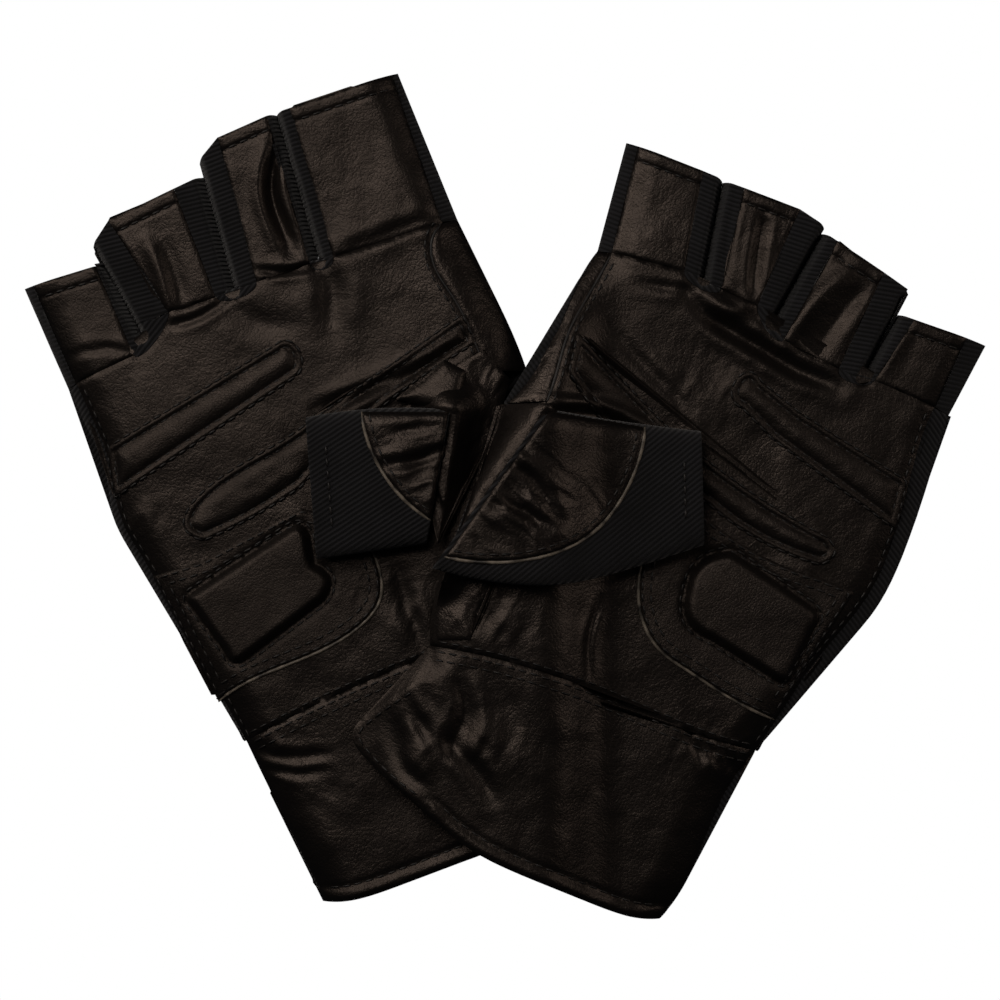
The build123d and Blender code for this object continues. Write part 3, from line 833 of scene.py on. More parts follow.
RIGHT = Pattern(
    side="right",
    climb=0.0,
    order=("pinky", "ring", "middle", "index"),
    creases=(
        Crease([(-65, 59.5), (-57, 59.0), (-47, 61.0)], 0.9, 1.0),
        Crease([(-87, 45), (-80, 47), (-72, 52)], 0.8, 1.0),
        Crease([(-43, 64), (-30, 69), (-17, 74)], 0.55, 1.7),
        Crease([(-114, 37), (-104, 39), (-95, 37)], 0.4, 1.2),
        Crease([(-48, 61), (-45, 54), (-46, 44)], 1.2, 3.2),
        Crease([(-76, 52), (-64, 46), (-53, 45)], 0.6, 3.0),
        Crease([(-59, 93), (-61, 80), (-56, 65)], 3.0, 1.8),
        Crease([(-93, 67), (-90, 59), (-87, 48)], -1.4, 2.0),
        Crease([(-49, 23), (-33, 29), (-16, 37), (-10, 42)], 1.7, 1.7),
        Crease([(-68, -65), (-57, -68), (-46, -67)], 0.7, 1.5),
        Crease([(-63, -71), (-53, -72), (-46, -71)], 0.6, 1.2),
        Crease([(-29, -16), (-25, -29), (-21, -40)], 0.8, 2.0),
    ),
    crumples=(
        Crumple((-9, 14), (12, 22), 1.0, 5.0, 70),
        Crumple((-3, 34), (10, 14), 0.6, 4.0, 60),
        Crumple((-27, -27), (9, 16), 0.5, 4.5, 70),
        Crumple((-98, -3), (7, 18), 0.35, 3.5, 70),
        Crumple((-56, -71), (16, 8), 0.5, 4.0, -20),
    ),
    thumb_creases=(
        Crease([(-33, 8), (-22, 10), (-12, 14)], 0.9, 1.4),
        Crease([(-30, 17), (-22, 18), (-14, 19)], 0.5, 1.3),
    ),
    thumb_crumples=(Crumple((-20, 8), (9, 12), 0.8, 4.5, 20),),
    twill_angle=38.0,
    cuff_floor=2.5,
    tongue=[(-28.3, 25.7), (-21.5, 30.5), (-15.5, 35.9), (-10.0, 33.0), (-11.4, 24.4), (-20.0, 23.6)],
)

LEFT = Pattern(
    side="left",
    climb=10.0,
    order=("index", "middle", "ring", "pinky"),
    creases=(
        Crease([(48, 53), (57, 45), (67, 39), (77, 33), (87, 29)], 2.1, 2.0),
        Crease([(51, 51), (60, 49), (65, 52)], -1.2, 2.2),
        Crease([(68, 74), (66, 62), (65, 52)], 1.4, 1.5),
        Crease([(60, 79), (58, 67), (57, 55)], 0.9, 1.5),
        Crease([(92, 61), (82, 52), (73, 40)], -1.4, 2.4),
        Crease([(95, 55), (89, 49), (82, 39)], 1.0, 2.0),
        Crease([(105, 45), (100, 35)], -0.7, 2.0),
        Crease([(35, 56), (42, 55), (49, 54)], 0.6, 1.4),
        Crease([(28, 44), (38, 33), (48, 23)], 0.5, 1.6),
        Crease([(11, 25), (25, 24), (39, 18)], -1.1, 1.6),
        Crease([(12, 22), (26, 21), (39, 15)], 1.3, 1.6),
        Crease([(25, -26), (22, -37), (22, -47)], 0.9, 0.9),
        Crease([(-9, -42), (4, -58), (14, -69)], 0.6, 4.0),
        Crease([(48, -62), (52, -69)], 0.9, 1.2),
        Crease([(53, -64), (57, -71)], 0.9, 1.2),
        Crease([(57, -65), (60, -72)], 0.9, 1.2),
        Crease([(-12, -46), (-10, -56), (-14, -66)], 1.5, 2.2),
        Crease([(-16, -62), (-8, -70), (-3, -78)], 1.2, 2.0),
    ),
    crumples=(
        Crumple((56, 31), (14, 14), 0.35, 3.6, 60),
        Crumple((82, -16), (9, 12), 0.3, 3.5, -50),
        Crumple((-4, -30), (9, 12), 0.9, 4.5, 60),
        Crumple((54, -66), (10, 8), 0.5, 3.0, 40),
        Crumple((-10, -60), (9, 16), 0.9, 5.0, 70),
    ),
    thumb_creases=(
        Crease([(-1, 10), (7, 5), (14, -6)], 1.0, 1.6),
        Crease([(-1, -1), (6, -4), (11, -8)], 0.9, 1.5),
    ),
    thumb_crumples=(Crumple((4, 0), (16, 16), 1.0, 5.0, -45),),
    twill_angle=-38.0,
    cuff_floor=0.6,
    notch=("ring", "pinky"),
)

# Padded strips, heel patch and gel pad, above the palm
STRIP_BORDER = 2.1
STRIP_RIDGE = 0.7
STRIP_CROWN = 1.2
STRIP_ROLL = 3.5
PATCH_RISE = 0.8
PAD_RISE = 2.6
PAD_ROLL = 2.4

# The folded thumb
THUMB_MIDDLE = 15.1
THUMB_HALF = 3.7
THUMB_ROLL = 5.2
THUMB_PATCH = 0.7

# The strap's loose end
TAB_LOW = 12.2
TAB_MERGE = 4.0
TAB_SEAM = 1.2
TAB_ROW = 1.8
TAB_ROW_START = 2.4
TAB_MARKS = (
    Crease([(-29, -57), (-27, -69), (-19, -76)], 1.6, 2.0),
    Crease([(-25, -53), (-17, -65), (-15, -72)], 1.6, 2.0),
    Crease([(-21, -50), (-10, -62)], 1.2, 2.0),
    Crumple((-24, -62), (12, 14), 0.8, 5.0, 60),
)

# Hems and the gaps between stalls
FINGER_HEM = 3.6
CUFF_HEM = 4.0
THUMB_HEM = 4.7
U_DEPTH = 2.4
GAP_REACH = 4.2
GAP_CLEAR = 0.02
NOTCH_REACH = 0.2
BASE_TUCK = 0.5


class Glove:
    """One glove: its plan, its height field and every piece that lies on it."""

    def __init__(self, pattern: Pattern, finishes: Finishes) -> None:
        """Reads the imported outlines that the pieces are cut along.

        Args:
            pattern: what is set by hand on this glove.
            finishes: the materials.
        """
        self.pattern = pattern
        self.side = pattern.side
        self.body = f"{self.side}_glove"
        self.finishes = finishes
        self.knit = finishes.twill(pattern.twill_angle)
        self.palm = self.outline("palm_panel")
        self.web = self.outline("web_gusset")
        self.back = self.outline("back_panel", Side.BOTTOM)
        self.cuff = self.outline("cuff_front")
        self.fingers = [self.finger(name) for name in pattern.order]
        outward = -1 if self.side == "right" else 1
        self.outward = np.array([outward, 0.0])
        self.outer = self.fingers[0] if outward < 0 else self.fingers[-1]
        self.inner = self.fingers[-1] if outward < 0 else self.fingers[0]
        self.wrist = shared(self.palm, self.cuff)
        if (self.wrist[0] - self.wrist[-1]) @ self.outward < 0:
            self.wrist = self.wrist[::-1]
        self.middle = self.palm.mean(axis=0)
        self.hem = self.cuff_hem()
        self.edges = self.edge_lines()

    def outline(self, node: str, side: Side = Side.TOP) -> np.ndarray:
        """The outline of one of this glove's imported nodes."""
        return plan_outline(f"{self.side}_{node}", self.rise, side)

    def finger(self, name: str) -> Finger:
        """One finger's plan, with its hinge read from the frame."""
        joint = JOINTS[f"{self.side}_{name}_curl"]
        axis = np.array(joint["axis"][:2], float)
        axis /= np.linalg.norm(axis)
        front = plan_outline(f"{self.side}_{name}_front", flat)
        back = plan_outline(f"{self.side}_{name}_back", flat, Side.BOTTOM)
        return Finger(name, front, back, np.array(joint["pos_m"][:2]) / MM, axis if axis[0] > 0 else -axis)

    def rise(self, points: np.ndarray) -> np.ndarray:
        """How far the glove climbs over what lies below it."""
        t = np.linspace(0, 1, 60)
        middle = (CLIMB_TOP_X + CLIMB_FOOT_X) / 2
        x = CLIMB_TOP_X * (1 - t) ** 3 + 3 * middle * t * (1 - t) + CLIMB_FOOT_X * t**3
        return np.interp(points[:, 0], x, self.pattern.climb * (1 - (3 * t**2 - 2 * t**3)))

    def cuff_hem(self) -> np.ndarray:
        """The lower edge of the cuff, from the little finger's side to the thumb's."""
        spots = self.cuff[corners_of(self.cuff, 35)]
        low = spots[np.argsort(-np.abs(spots - self.wrist.mean(axis=0)) @ np.array([0.3, 1.0]))][:2]
        if (low[0] - low[1]) @ self.outward < 0:
            low = low[::-1]
        return route(self.cuff, low[0], low[1], self.wrist.mean(axis=0))

    def edge_lines(self) -> list[tuple[np.ndarray, float, float]]:
        """The lines that the glove's top rolls down to: its two sides and the gaps between fingers."""
        outer_left = self.outward[0] < 0
        a, b, c, d = self.outer.quad(self.outer.back)
        base, tip = (a, d) if outer_left else (b, c)
        other = self.back.mean(axis=0) - self.outward * 60
        side = route(self.back, base, self.wrist[0], other)
        down = route(self.cuff, self.wrist[0], self.hem[0], self.wrist[-1])
        lines = [(np.vstack([tip, side, down]), SIDE_ROLL, SIDE_LOW)]
        a, b, c, d = self.inner.quad(self.inner.back)
        base, tip = (b, c) if outer_left else (a, d)
        side = route(self.back, base, self.wrist[-1], self.back.mean(axis=0) + self.outward * 60)
        down = route(self.cuff, self.wrist[-1], self.hem[-1], self.wrist[0])
        if self.side == "left":
            down = down[:0]
        lines.append((np.vstack([tip, side, down]), SIDE_ROLL, SIDE_LOW))
        for left, right in zip(self.fingers, self.fingers[1:]):
            near, far = left.quad(left.back), right.quad(right.back)
            line = np.array([(near[2] + far[3]) / 2, (near[1] + far[0]) / 2])
            lines.append((line, GAP_ROLL, GAP_LOW))
        return lines

    def stall(self, finger: Finger) -> list[np.ndarray]:
        """A stall's four corners, let out sideways until its twill meets the next stall's."""
        corners = [np.array(corner) for corner in finger.quad(finger.back)]
        place = self.fingers.index(finger)
        sides = ((place - 1, (0, 3), (1, 2)), (place + 1, (1, 2), (0, 3)))
        for other, own, facing in sides:
            if not 0 <= other < len(self.fingers):
                continue
            quad = self.fingers[other].quad(self.fingers[other].back)
            wall = spread(np.array([quad[facing[0]], quad[facing[1]]]), 0.5)
            open_tip = {finger.name, self.fingers[other].name} == set(self.pattern.notch)
            for corner in own:
                nearest = wall[int(np.argmin(np.linalg.norm(wall - corners[corner], axis=1)))]
                gap = nearest - corners[corner]
                wide = np.linalg.norm(gap)
                reach = NOTCH_REACH if open_tip and corner > 1 else GAP_REACH
                corners[corner] = corners[corner] + gap / max(wide, 1e-9) * max(0.0, min(wide / 2
                                                                                         - GAP_CLEAR, reach))
        for corner in (0, 1):
            corners[corner] = corners[corner] - BASE_TUCK * finger.direction()
        return corners

    def top(self, points: np.ndarray) -> np.ndarray:
        """The height of the glove's upper skin."""
        height = np.full(len(points), GLOVE_HEIGHT)
        for line, width, low in self.edges:
            far, _ = distance(points, line)
            height = np.minimum(height, low + (GLOVE_HEIGHT - low) * bulge(far, width))
        for mark in (*self.pattern.creases, *self.pattern.crumples):
            height = height + mark.height(points)
        height = height + 0.32 * noise(points, 13.0, 3) + 0.12 * noise(points, 5.0, 7)
        return np.maximum(height, 1.3) + self.rise(points)

    def under(self, points: np.ndarray) -> np.ndarray:
        """The height of the glove's lower skin."""
        height = np.zeros(len(points))
        for line, _, low in self.edges:
            far, _ = distance(points, line)
            height = np.maximum(height, (low - 1.0) * (1 - bulge(far, BACK_ROLL)))
        return height + self.rise(points)

    def add(self, cloth: Cloth, finish: bpy.types.Material, slot: str, replaces: Sequence[str] = (),
            body: Optional[str] = None) -> bpy.types.Object:
        """Makes one cloth piece of this glove."""
        return self.put(cloth.name, cloth.mesh(), finish, slot, replaces, body)

    def put(self, name: str, mesh: bpy.types.Mesh, finish: bpy.types.Material, slot: str,
            replaces: Sequence[str] = (), body: Optional[str] = None) -> bpy.types.Object:
        """Puts one mesh of this glove in the scene."""
        nodes = [f"{self.side}_{node}" for node in replaces]
        return piece(f"{self.side}_{name}_looks", mesh, finish, self.body if body is None else body,
                     nodes)

    def build(self) -> None:
        """Every piece of the glove, in the order in which it is sewn."""
        self.build_palm()
        for finger in self.fingers:
            self.build_finger(finger)
        self.build_crotches()
        self.build_strips()
        self.build_heel()
        self.build_cuff()
        Thumb(self).build()

    def build_palm(self) -> None:
        """The palm leather, the back of the hand, the web and the twill along the little finger's side."""
        top_line = []
        for left, right in zip(self.fingers, self.fingers[1:] + [None]):
            a, b, _, _ = left.quad(left.front)
            top_line += [a, b]
            if right is not None:
                top_line += list(self.crotch_path(left, right)[1:-1])
        top_line = np.array(top_line)
        rest = route(self.palm, top_line[-1], top_line[0], top_line[len(top_line) // 2])
        loop = np.vstack([top_line, rest[1:-1]])
        self.add(Cloth("palm", loop, self.top, LEATHER, MEDIUM, 0.45, 1.0), self.finishes.palm, "leather",
                 ["palm_panel"])
        self.add(Cloth("web", self.web, self.top, LEATHER, MEDIUM, 0.45, 1.0), self.finishes.soft, "leather",
                 ["web_gusset"])
        self.add(Cloth("back", self.back, self.under, KNIT, COARSE, 0.2, 1.2, True), self.knit,
                 "stretch_twill",
                 ["back_panel", "wrist_elastic"])
        start = top_line[0] if self.outward[0] < 0 else top_line[-1]
        seam = route(self.palm, start, self.wrist[0], self.middle - 60 * self.outward)
        corner = self.edges[0][0][1]
        edge = route(self.back, corner, self.wrist[0], self.middle - 60 * self.outward)
        strip = np.vstack([seam, edge[::-1][1:]])
        self.add(Cloth("side_strip", strip, self.top, KNIT, FINE, 0.25, 0.7), self.knit, "stretch_twill")
        web_seam = spread(shared(self.palm, self.web), 1.0)
        self.put("web_seam", cord_mesh("web_seam", web_seam, self.top, 0.38, 0.3), self.finishes.seam,
                 "leather")
        rows = [towards(web_seam, self.middle, 1.6), towards(spread(seam, 1.0), self.middle, 1.4)]
        self.put("palm_stitches", stitching("palm_stitches", rows, self.top), self.finishes.seam, "leather")

    def crotch_path(self, left: Finger, right: Finger) -> np.ndarray:
        """The palm's edge round the foot of a gap, from one finger's front to the next."""
        a, b = left.quad(left.front)[1], right.quad(right.front)[0]
        middle, half = (a + b) / 2, (b - a) / 2
        out = left.direction() + right.direction()
        out /= np.linalg.norm(out)
        turn = np.linspace(0, math.pi, 17)[:, None]
        return middle - half * np.cos(turn) - out * U_DEPTH * np.sin(turn)

    def build_crotches(self) -> None:
        """The twill that runs round the foot of each gap."""
        for number, (left, right) in enumerate(zip(self.fingers, self.fingers[1:])):
            near, far = self.stall(left), self.stall(right)
            loop = np.vstack([self.crotch_path(left, right), far[0], near[1]])
            self.add(Cloth(f"crotch_{number + 1}", loop, self.top, KNIT, FINE, 0.2, 0.5), self.knit,
                     "stretch_twill", ["fourchette_crotches"] if number == 0 else [])

    def bend(self, obj: bpy.types.Object, finger: Finger) -> None:
        """Bakes the placement of a piece of a stall into its mesh."""
        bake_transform(obj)

    def build_finger(self, finger: Finger) -> None:
        """One stall: its leather front, the twill beside and behind it, and its hem."""
        name = finger.name
        a, b, c, d = finger.quad(finger.front)
        p, q, r, s = self.stall(finger)
        knit = self.finishes.twill(math.degrees(math.atan2(*finger.direction()[::-1]))
                                   - self.pattern.twill_angle)
        hem = np.array([d, c])

        def front_top(points: np.ndarray) -> np.ndarray:
            """The leather's height, with its hem a little thicker and a groove at the hem's stitches."""
            far, _ = distance(points, hem)
            groove = 0.35 * np.exp(-(((far - FINGER_HEM) / 0.5) ** 2))
            return self.top(points) + 0.25 * (far < FINGER_HEM) - groove

        front = self.add(Cloth(f"{name}_front", np.array([a, b, c, d]), front_top, LEATHER, FINE, 0.4, 0.9),
                         self.finishes.palm, "leather", [f"{name}_front"], "")
        left = self.add(Cloth(f"{name}_left_band", np.array([p, a, d, s]), self.top, KNIT, FINE, 0.25, 0.6),
                        knit,
                        "stretch_twill", [f"{name}_fourchette"], "")
        right = self.add(Cloth(f"{name}_right_band", np.array([b, q, r, c]), self.top, KNIT, FINE, 0.25,
                               0.6), knit,
                         "stretch_twill", [], "")
        back = self.add(Cloth(f"{name}_back", np.array([p, q, r, s]), self.under, KNIT, MEDIUM, 0.15, 0.9,
                              True),
                        knit, "stretch_twill", [f"{name}_back"], "")
        row = spread(hem, 1.0) - FINGER_HEM * finger.direction()
        stitches = self.put(f"{name}_stitches", stitching(f"{name}_stitches", [row], front_top),
                            self.finishes.seam,
                            "leather", [], "")
        for obj in (front, left, right, back, stitches):
            self.bend(obj, finger)

    def build_strips(self) -> None:
        """The two padded strips, each with a flat border between two rows of stitches."""
        for name, foam in (("upper_strip", ["strip_foams"]), ("lower_strip", [])):
            loop = self.outline(name)

            def padded_top(points: np.ndarray, edge: np.ndarray = ring(loop)) -> np.ndarray:
                """The strip's height: a flat border, a sewn groove and a soft crown."""
                far, _ = distance(points, edge)
                border = STRIP_RIDGE * np.sin(math.pi * np.clip(far / STRIP_BORDER, 0, 1)) ** 0.7
                crown = STRIP_CROWN * bulge(far - STRIP_BORDER, STRIP_ROLL) * (far > STRIP_BORDER)
                groove = 0.25 * np.exp(-(((far - STRIP_BORDER) / 0.5) ** 2))
                return self.top(points) + border + crown - groove + 0.15 * noise(points, 3.2, 17) * (far > 3)

            strip = self.add(Cloth(name, loop, padded_top, LEATHER, FINE, 0.3, 0.7), self.finishes.pad,
                             "leather",
                             [name, *foam])
            rows = [ring(inset(loop, 0.35)), ring(inset(loop, STRIP_BORDER))]
            self.put(f"{name}_stitches", stitching(f"{name}_stitches", rows, padded_top), self.finishes.seam,
                     "leather")

    def build_heel(self) -> None:
        """The heel patch, swollen over its gel pad, with its stitches and its edge cord, pale with painted
        highlight.
        """
        gel = self.outline("heel_patch")
        loop = self.outline("heel_patch", Side.BOTTOM)

        def patch_top(points: np.ndarray) -> np.ndarray:
            """The patch's height, with a groove round the gel pad."""
            edge, _ = distance(points, ring(loop))
            far, _ = distance(points, ring(gel))
            pad = PAD_RISE * bulge(far, PAD_ROLL) * inside(points, gel)
            groove = 0.8 * np.exp(-((far / 1.3) ** 2))
            return self.top(points) + PATCH_RISE * bulge(edge, 0.9) + pad - groove

        patch = self.add(Cloth("heel_patch", loop, patch_top, LEATHER, FINE, 0.3, 0.8), self.finishes.pad,
                         "padding", ["heel_patch", "gel_pad"])
        rows = [ring(inset(loop, 1.0)), ring(inset(loop, 3.2)), ring(inset(gel, -1.0))]
        self.put("heel_stitches", stitching("heel_stitches", rows, patch_top), self.finishes.seam, "leather")
        spots = loop[corners_of(loop)]
        wrist_end = spots[int(np.argmin(spots[:, 1]))]
        top_end = spots[int(np.argmin(spots @ self.outward))]
        edge = spread(route(loop, wrist_end, top_end, spots[int(np.argmax(spots @ self.outward))]), 1.0)
        # The edge cord's pale colour is a painted highlight along the patch's edge.
        self.put("heel_edge", cord_mesh("heel_edge", edge, self.top, 0.42, -0.25), self.finishes.edge,
                 "leather")

    def build_cuff(self) -> None:
        """The wrist band with its hem and wrist seam, and the closing strap with its tapes."""
        hem = self.hem

        def cuff_top(points: np.ndarray) -> np.ndarray:
            """The cuff's height, with a thicker hem and a groove at the hem's stitches."""
            far, _ = distance(points, hem)
            groove = 0.5 * np.exp(-(((far - CUFF_HEM) / 0.7) ** 2))
            roll = 0.5 * np.exp(-(((far - 1.6) / 1.4) ** 2))
            return self.top(points) + roll - groove

        def cuff_under(points: np.ndarray) -> np.ndarray:
            """The height of the cuff's lower layer, over the strap."""
            return np.maximum(self.under(points), self.pattern.cuff_floor + self.rise(points))

        if self.side == "left":
            self.build_cuff_and_tab(cuff_top)
        else:
            self.add(Cloth("cuff_front", self.cuff, cuff_top, LEATHER, MEDIUM, 0.5, 1.1), self.finishes.palm,
                     "leather", ["cuff_front"])
        self.add(Cloth("cuff_back", self.cuff, cuff_under, KNIT, COARSE, 0.2, 1.2, True), self.knit,
                 "stretch_twill", ["cuff_back"])
        inside_cuff = self.cuff.mean(axis=0)
        wrist = spread(self.wrist, 1.0)
        rows = [towards(wrist, inside_cuff, 1.2), towards(wrist, inside_cuff, 3.4),
                towards(wrist, self.middle, 1.4),
                towards(spread(hem, 1.0), inside_cuff, CUFF_HEM)]
        self.put("cuff_stitches", stitching("cuff_stitches", rows, cuff_top), self.finishes.seam, "leather")
        for node, finish in (("loop_pad", self.finishes.loop), ("hook_pad", self.finishes.hook)):
            dress(f"{self.side}_{node}", finish)
        if self.side == "right":
            dress(f"{self.side}_wrist_strap", self.finishes.soft)

    def build_cuff_and_tab(self, cuff_top: Heights) -> None:
        """The band and the strap's loose end, which are cut in one and hang over the cuff's side.

        Args:
            cuff_top: the band's height.
        """
        strap = self.outline("wrist_strap")
        root, tip = strap[:, 0].max(), strap[:, 0].min()
        seam = shared(strap, self.cuff, TAB_SEAM)
        middle = seam.mean(axis=0)
        first, last = seam[0], seam[-1]
        band = route(resample(self.cuff, 1.0), first, last, middle)
        flap = route(resample(strap, 1.0), last, first, middle)
        loop = np.vstack([band, flap[1:-1]])

        def tab_top(points: np.ndarray) -> np.ndarray:
            """The tab's height: it leaves the cuff's edge high and settles to its own level."""
            share = np.clip((root - points[:, 0]) / (root - tip), 0, 1)
            marks = sum(mark.height(points) for mark in TAB_MARKS)
            fall = (GLOVE_HEIGHT + self.pattern.climb - TAB_LOW) * 0.5 * (1 + np.cos(math.pi * share))
            return TAB_LOW + fall + (marks + 0.3 * noise(points, 6.0, 41)) * (1 - share)

        def joined_top(points: np.ndarray) -> np.ndarray:
            """The height across both, which passes smoothly from the band to the tab."""
            t = np.clip((root + TAB_MERGE - points[:, 0]) / (2 * TAB_MERGE), 0, 1)
            t = t * t * (3 - 2 * t)
            return cuff_top(points) * (1 - t) + tab_top(points) * t

        band_cloth = self.add(Cloth("cuff_front", loop, joined_top, LEATHER, MEDIUM, 0.5, 1.1),
                              self.finishes.palm,
                              "leather", ["cuff_front", "wrist_strap"], "")
        row = inset(strap, TAB_ROW)
        row = row[row[:, 0] < root - TAB_ROW_START]
        stitches = self.put("strap_stitches", stitching("strap_stitches", [row], joined_top),
                            self.finishes.seam,
                            "leather", [], "")
        for obj in (band_cloth, stitches):
            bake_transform(obj)


def dress(node: str, finish: bpy.types.Material) -> None:
    """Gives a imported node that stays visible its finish."""
    materials = frame["nodes"][node].data.materials
    for i in range(max(1, len(materials))):
        if i < len(materials):
            materials[i] = finish
        else:
            materials.append(finish)


class Thumb:
    """The thumb stall folded over the palm: a flat twill sleeve, its leather patch and its root."""

    def __init__(self, glove: Glove) -> None:
        """Finds the sleeve's two long edges.

        Args:
            glove: the glove that the thumb belongs to.
        """
        self.glove = glove
        self.pattern = glove.pattern
        loop = glove.outline("thumb_sleeve")
        self.patch = glove.outline("thumb_patch")
        joint = JOINTS[f"{glove.side}_thumb_lift"]
        hinge = np.array(joint["pos_m"][:2]) / MM
        axis = np.array(joint["axis"][:2], float)
        axis /= np.linalg.norm(axis)
        spots = loop[corners_of(loop, 35)]
        off = np.abs((spots - hinge) @ np.array([-axis[1], axis[0]]))
        root = spots[np.argsort(off)[:2]]
        end = spots[np.argsort(off)[-2:]]
        self.root = root[np.argsort(-root[:, 1])]
        self.end = end[np.argsort(-end[:, 1])]
        self.upper = route(loop, self.root[0], self.end[0], self.root[1])
        self.lower = route(loop, self.root[1], self.end[1], self.root[0])
        self.out = (self.end.mean(axis=0) - self.root.mean(axis=0))
        self.out /= np.linalg.norm(self.out)

    def profile(self, points: np.ndarray) -> np.ndarray:
        """Half of the sleeve's thickness as a share, which falls to 0 at its long edges."""
        far = np.minimum(distance(points, self.upper)[0], distance(points, self.lower)[0])
        near = 1 - np.clip(far / THUMB_ROLL, 0, 1)
        return (1 - near**2.3) ** (1 / 2.3)

    def marks(self, points: np.ndarray) -> np.ndarray:
        """The folds in the sleeve's upper face."""
        height = 0.22 * noise(points, 9.0, 13)
        for mark in (*self.pattern.thumb_creases, *self.pattern.thumb_crumples):
            height = height + mark.height(points)
        return height

    def top(self, points: np.ndarray) -> np.ndarray:
        """The height of the sleeve's upper face."""
        share = self.profile(points)
        return THUMB_MIDDLE + THUMB_HALF * share + self.marks(points) * share + self.glove.rise(points)

    def patch_top(self, points: np.ndarray) -> np.ndarray:
        """The height of the leather patch on the sleeve."""
        return self.top(points) + THUMB_PATCH * bulge(distance(points, ring(self.patch))[0], 0.9) + 0.1

    def sleeve_mesh(self) -> bpy.types.Mesh:
        """The sleeve as an open tube with a wall of even thickness."""
        along, around = 56, 26
        upper, lower = spread_count(self.upper, along), spread_count(self.lower, along)
        share = (1 - np.cos(np.linspace(0, math.pi, around))) / 2
        rings = []
        for wall in (0.0, KNIT):
            for a, b in zip(upper, lower):
                span = np.linalg.norm(b - a)
                t = wall / span + share * (1 - 2 * wall / span)
                plan = a + t[:, None] * (b - a)
                half = (THUMB_HALF - wall) * self.profile(a + share[:, None] * (b - a))
                marks = self.marks(plan) * self.profile(plan)
                rise = self.glove.rise(plan) + THUMB_MIDDLE
                over = np.column_stack([plan, rise + half + marks])
                below = np.column_stack([plan, rise - half])[::-1][1:-1]
                rings.append(np.vstack([over, below]))
        count = len(rings[0])
        vertices = np.vstack(rings)
        faces = []
        for shell, flip in ((0, False), (along, True)):
            for i in range(along - 1):
                for k in range(count):
                    a, b = (shell + i) * count + k, (shell + i) * count + (k + 1) % count
                    face = (a, b, b + count, a + count)
                    faces.append(face[::-1] if flip else face)
        for i, flip in ((0, True), (along - 1, False)):
            for k in range(count):
                a, b = i * count + k, i * count + (k + 1) % count
                face = (a, b, b + along * count, a + along * count)
                faces.append(face[::-1] if flip else face)
        mesh = simple_mesh("sleeve", vertices, faces)
        volume = sum(p.area * p.normal.z * p.center.z for p in mesh.polygons)
        if volume < 0:
            mesh.flip_normals()
        return mesh

    def build(self) -> None:
        """The sleeve, its patch and piping, and the leather that joins it to the palm."""
        glove, finishes = self.glove, self.glove.finishes
        knit = finishes.twill(math.degrees(math.atan2(self.out[1], self.out[0])) + 52)
        sleeve = glove.put("thumb_sleeve", self.sleeve_mesh(), knit, "stretch_twill", ["thumb_sleeve"], "")
        patch = glove.add(Cloth("thumb_patch", self.patch, self.patch_top, LEATHER * 0.6, FINE, 0.3, 0.8),
                          finishes.soft, "leather", ["thumb_patch"], "")
        spots = self.patch[corners_of(self.patch, 30)]
        corner = spots[int(np.argmin(np.linalg.norm(spots - self.root[0], axis=1)))]
        ends = sorted((tuple(s) for s in spots), key=lambda s: -np.linalg.norm(np.array(s) - corner))[:2]
        edge = spread(route(self.patch, np.array(ends[0]), np.array(ends[1]), corner), 1.0)
        # The piping's pale colour is a painted highlight along the patch's edge.
        piping = glove.put("thumb_piping", cord_mesh("thumb_piping", edge, self.patch_top, 0.5, 0.1),
                           finishes.edge, "leather", [], "")
        rows = [towards(edge, corner, 2.0)]
        hem = spread(np.array([self.end[0], self.end[1]]), 1.0) - THUMB_HEM * self.out
        stitches = glove.put("thumb_stitches", stitching("thumb_stitches", [*rows], self.patch_top),
                             finishes.seam,
                             "leather", [], "")
        hem_row = glove.put("thumb_hem", stitching("thumb_hem", [hem[6:-6]], self.top), finishes.seam,
                            "stretch_twill", [], "")
        start = self.root.mean(axis=0)
        level = float(self.top(start[None])[0])
        for obj in (sleeve, patch, piping, stitches, hem_row):
            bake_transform(obj)
        self.build_root()

    def build_root(self) -> None:
        """The crumpled leather that climbs from the palm to the sleeve's root."""
        glove = self.glove
        loop = glove.outline("thumb_root")
        line = spread(self.root, 1.0)

        def root_top(points: np.ndarray) -> np.ndarray:
            """The leather's height: on the palm at its far edge, on the sleeve's top at the root line."""
            far, _ = distance(points, line)
            share = 0.5 * (1 + np.cos(math.pi * np.clip(far / 11.0, 0, 1)))
            low = glove.top(points) + 0.8
            high = THUMB_MIDDLE + THUMB_HALF * 0.8 + glove.rise(points)
            return low * (1 - share) + high * share + 0.5 * noise(points, 4.0, 29) * share

        glove.add(Cloth("thumb_root", loop, root_top, LEATHER, FINE, 0.3, 0.9), glove.finishes.soft,
                  "leather",
                  ["thumb_root"])
        if self.pattern.tongue:
            tongue = as_points(self.pattern.tongue)

            def tongue_top(points: np.ndarray) -> np.ndarray:
                """The height of the smooth tongue of leather that stands up beside the thumb."""
                return root_top(points) * 0.25 + 0.75 * (GLOVE_HEIGHT + 3.4) + 1.2 * bulge(
                    distance(points, ring(tongue))[0], 3.0)

            glove.add(Cloth("thumb_tongue", tongue, tongue_top, LEATHER, FINE, 0.5, 1.0), glove.finishes.palm,
                      "leather")


def spread_count(line: np.ndarray, count: int) -> np.ndarray:
    """An open line as a number of evenly spaced points."""
    along = np.concatenate([[0], np.cumsum(np.linalg.norm(np.diff(line, axis=0), axis=1))])
    at = np.linspace(0, along[-1], count)
    return np.stack([np.interp(at, along, line[:, 0]), np.interp(at, along, line[:, 1])], axis=1)


# The studio


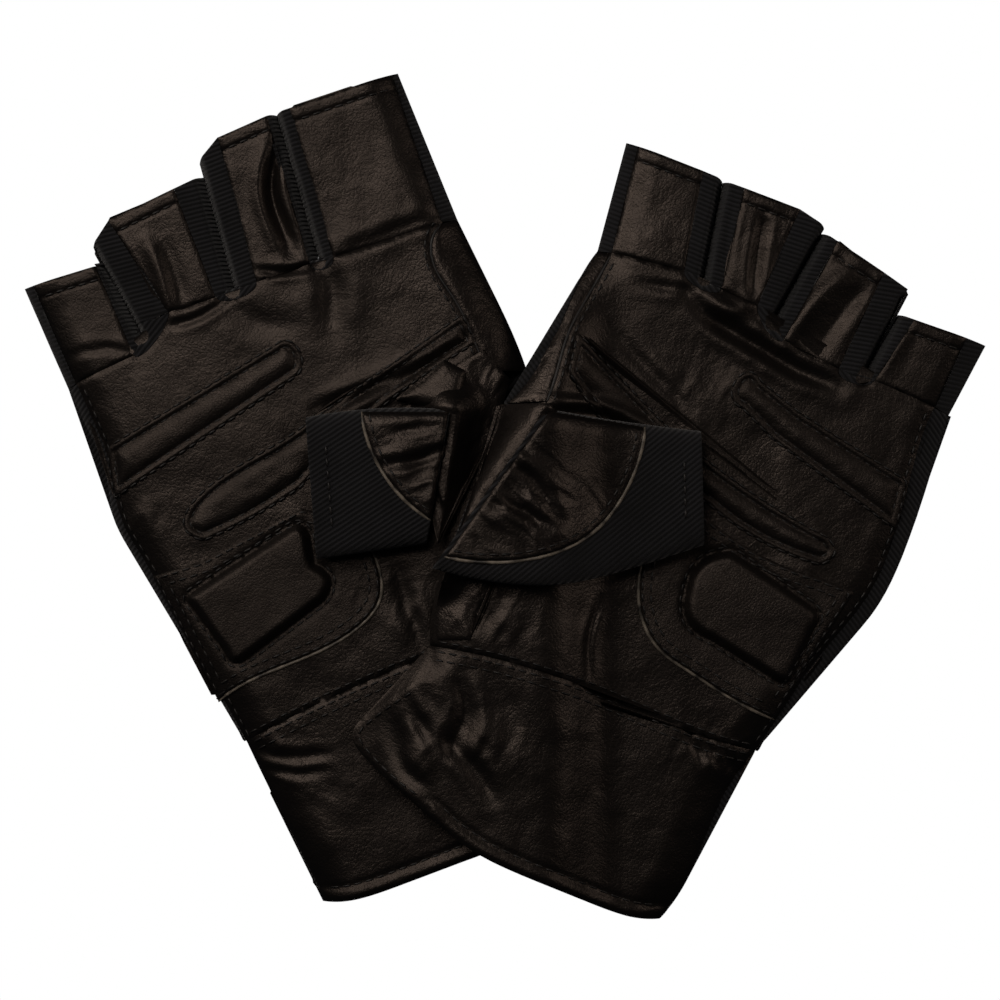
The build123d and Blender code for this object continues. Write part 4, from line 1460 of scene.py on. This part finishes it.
def build_floor() -> None:
    """A plain white ground that gives no light of its own to the gloves."""
    material = bpy.data.materials.new("white_ground")
    material.use_nodes = True
    material.node_tree.nodes.clear()
    glow = add_node(material, "ShaderNodeEmission", Color=(1.0, 1.0, 1.0, 1.0), Strength=1.0)
    add_node(material, "ShaderNodeOutputMaterial", Surface=glow.outputs["Emission"])
    mesh = bpy.data.meshes.new("ground")
    reach = 1.5
    mesh.from_pydata([(-reach, -reach, -0.001), (reach, -reach, -0.001), (reach, reach, -0.001),
                      (-reach, reach, -0.001)], [], [(0, 1, 2, 3)])
    mesh.materials.append(material)
    ground = bpy.data.objects.new("ground", mesh)
    ground.visible_diffuse = False
    ground.visible_glossy = False
    bpy.context.scene.collection.objects.link(ground)


def build_light() -> None:
    """A dim room and three soft boxes: a large one overhead and two low ones that rake the leather."""
    world = bpy.data.worlds.new("studio")
    world.use_nodes = True
    world.node_tree.nodes["Background"].inputs["Color"].default_value = linear("#dfe8ff")
    world.node_tree.nodes["Background"].inputs["Strength"].default_value = 0.012
    bpy.context.scene.world = world
    boxes = (("overhead", (-0.25, 0.4, 0.9), 0.45, 2.2, "#fff6ee"),
             ("left_box", (-0.8, 0.5, 0.5), 0.4, 2.2, "#fff4ea"),
             ("right_box", (0.9, 0.2, 0.4), 0.35, 0.8, "#fff0e4"))
    for name, place, size, power, colour in boxes:
        light = bpy.data.lights.new(name, "AREA")
        light.energy = power
        light.size = size
        light.color = linear(colour)[:3]
        lamp = bpy.data.objects.new(name, light)
        lamp.location = place
        lamp.rotation_euler = (-Vector(place)).to_track_quat("-Z", "Y").to_euler()
        bpy.context.scene.collection.objects.link(lamp)


def build_camera() -> None:
    """A long lens straight above the middle of the pair."""
    scene = bpy.context.scene
    camera = bpy.data.cameras.new("camera")
    camera.sensor_width = 36.0
    camera.lens = 137.9
    obj = bpy.data.objects.new("camera", camera)
    obj.location = (-1.17 * MM, -0.65 * MM, 1.010)
    scene.collection.objects.link(obj)
    scene.camera = obj
    scene.view_settings.view_transform = "Standard"
    scene.view_settings.look = "None"


def main() -> None:
    """Builds the pair, then the studio round it."""
    logging.basicConfig(level=logging.INFO, format="%(name)s: %(message)s")
    finishes = Finishes()
    for pattern in (RIGHT, LEFT):
        Glove(pattern, finishes).build()
    build_camera()
    build_light()
    build_floor()


if __name__ == "__main__":
    main()
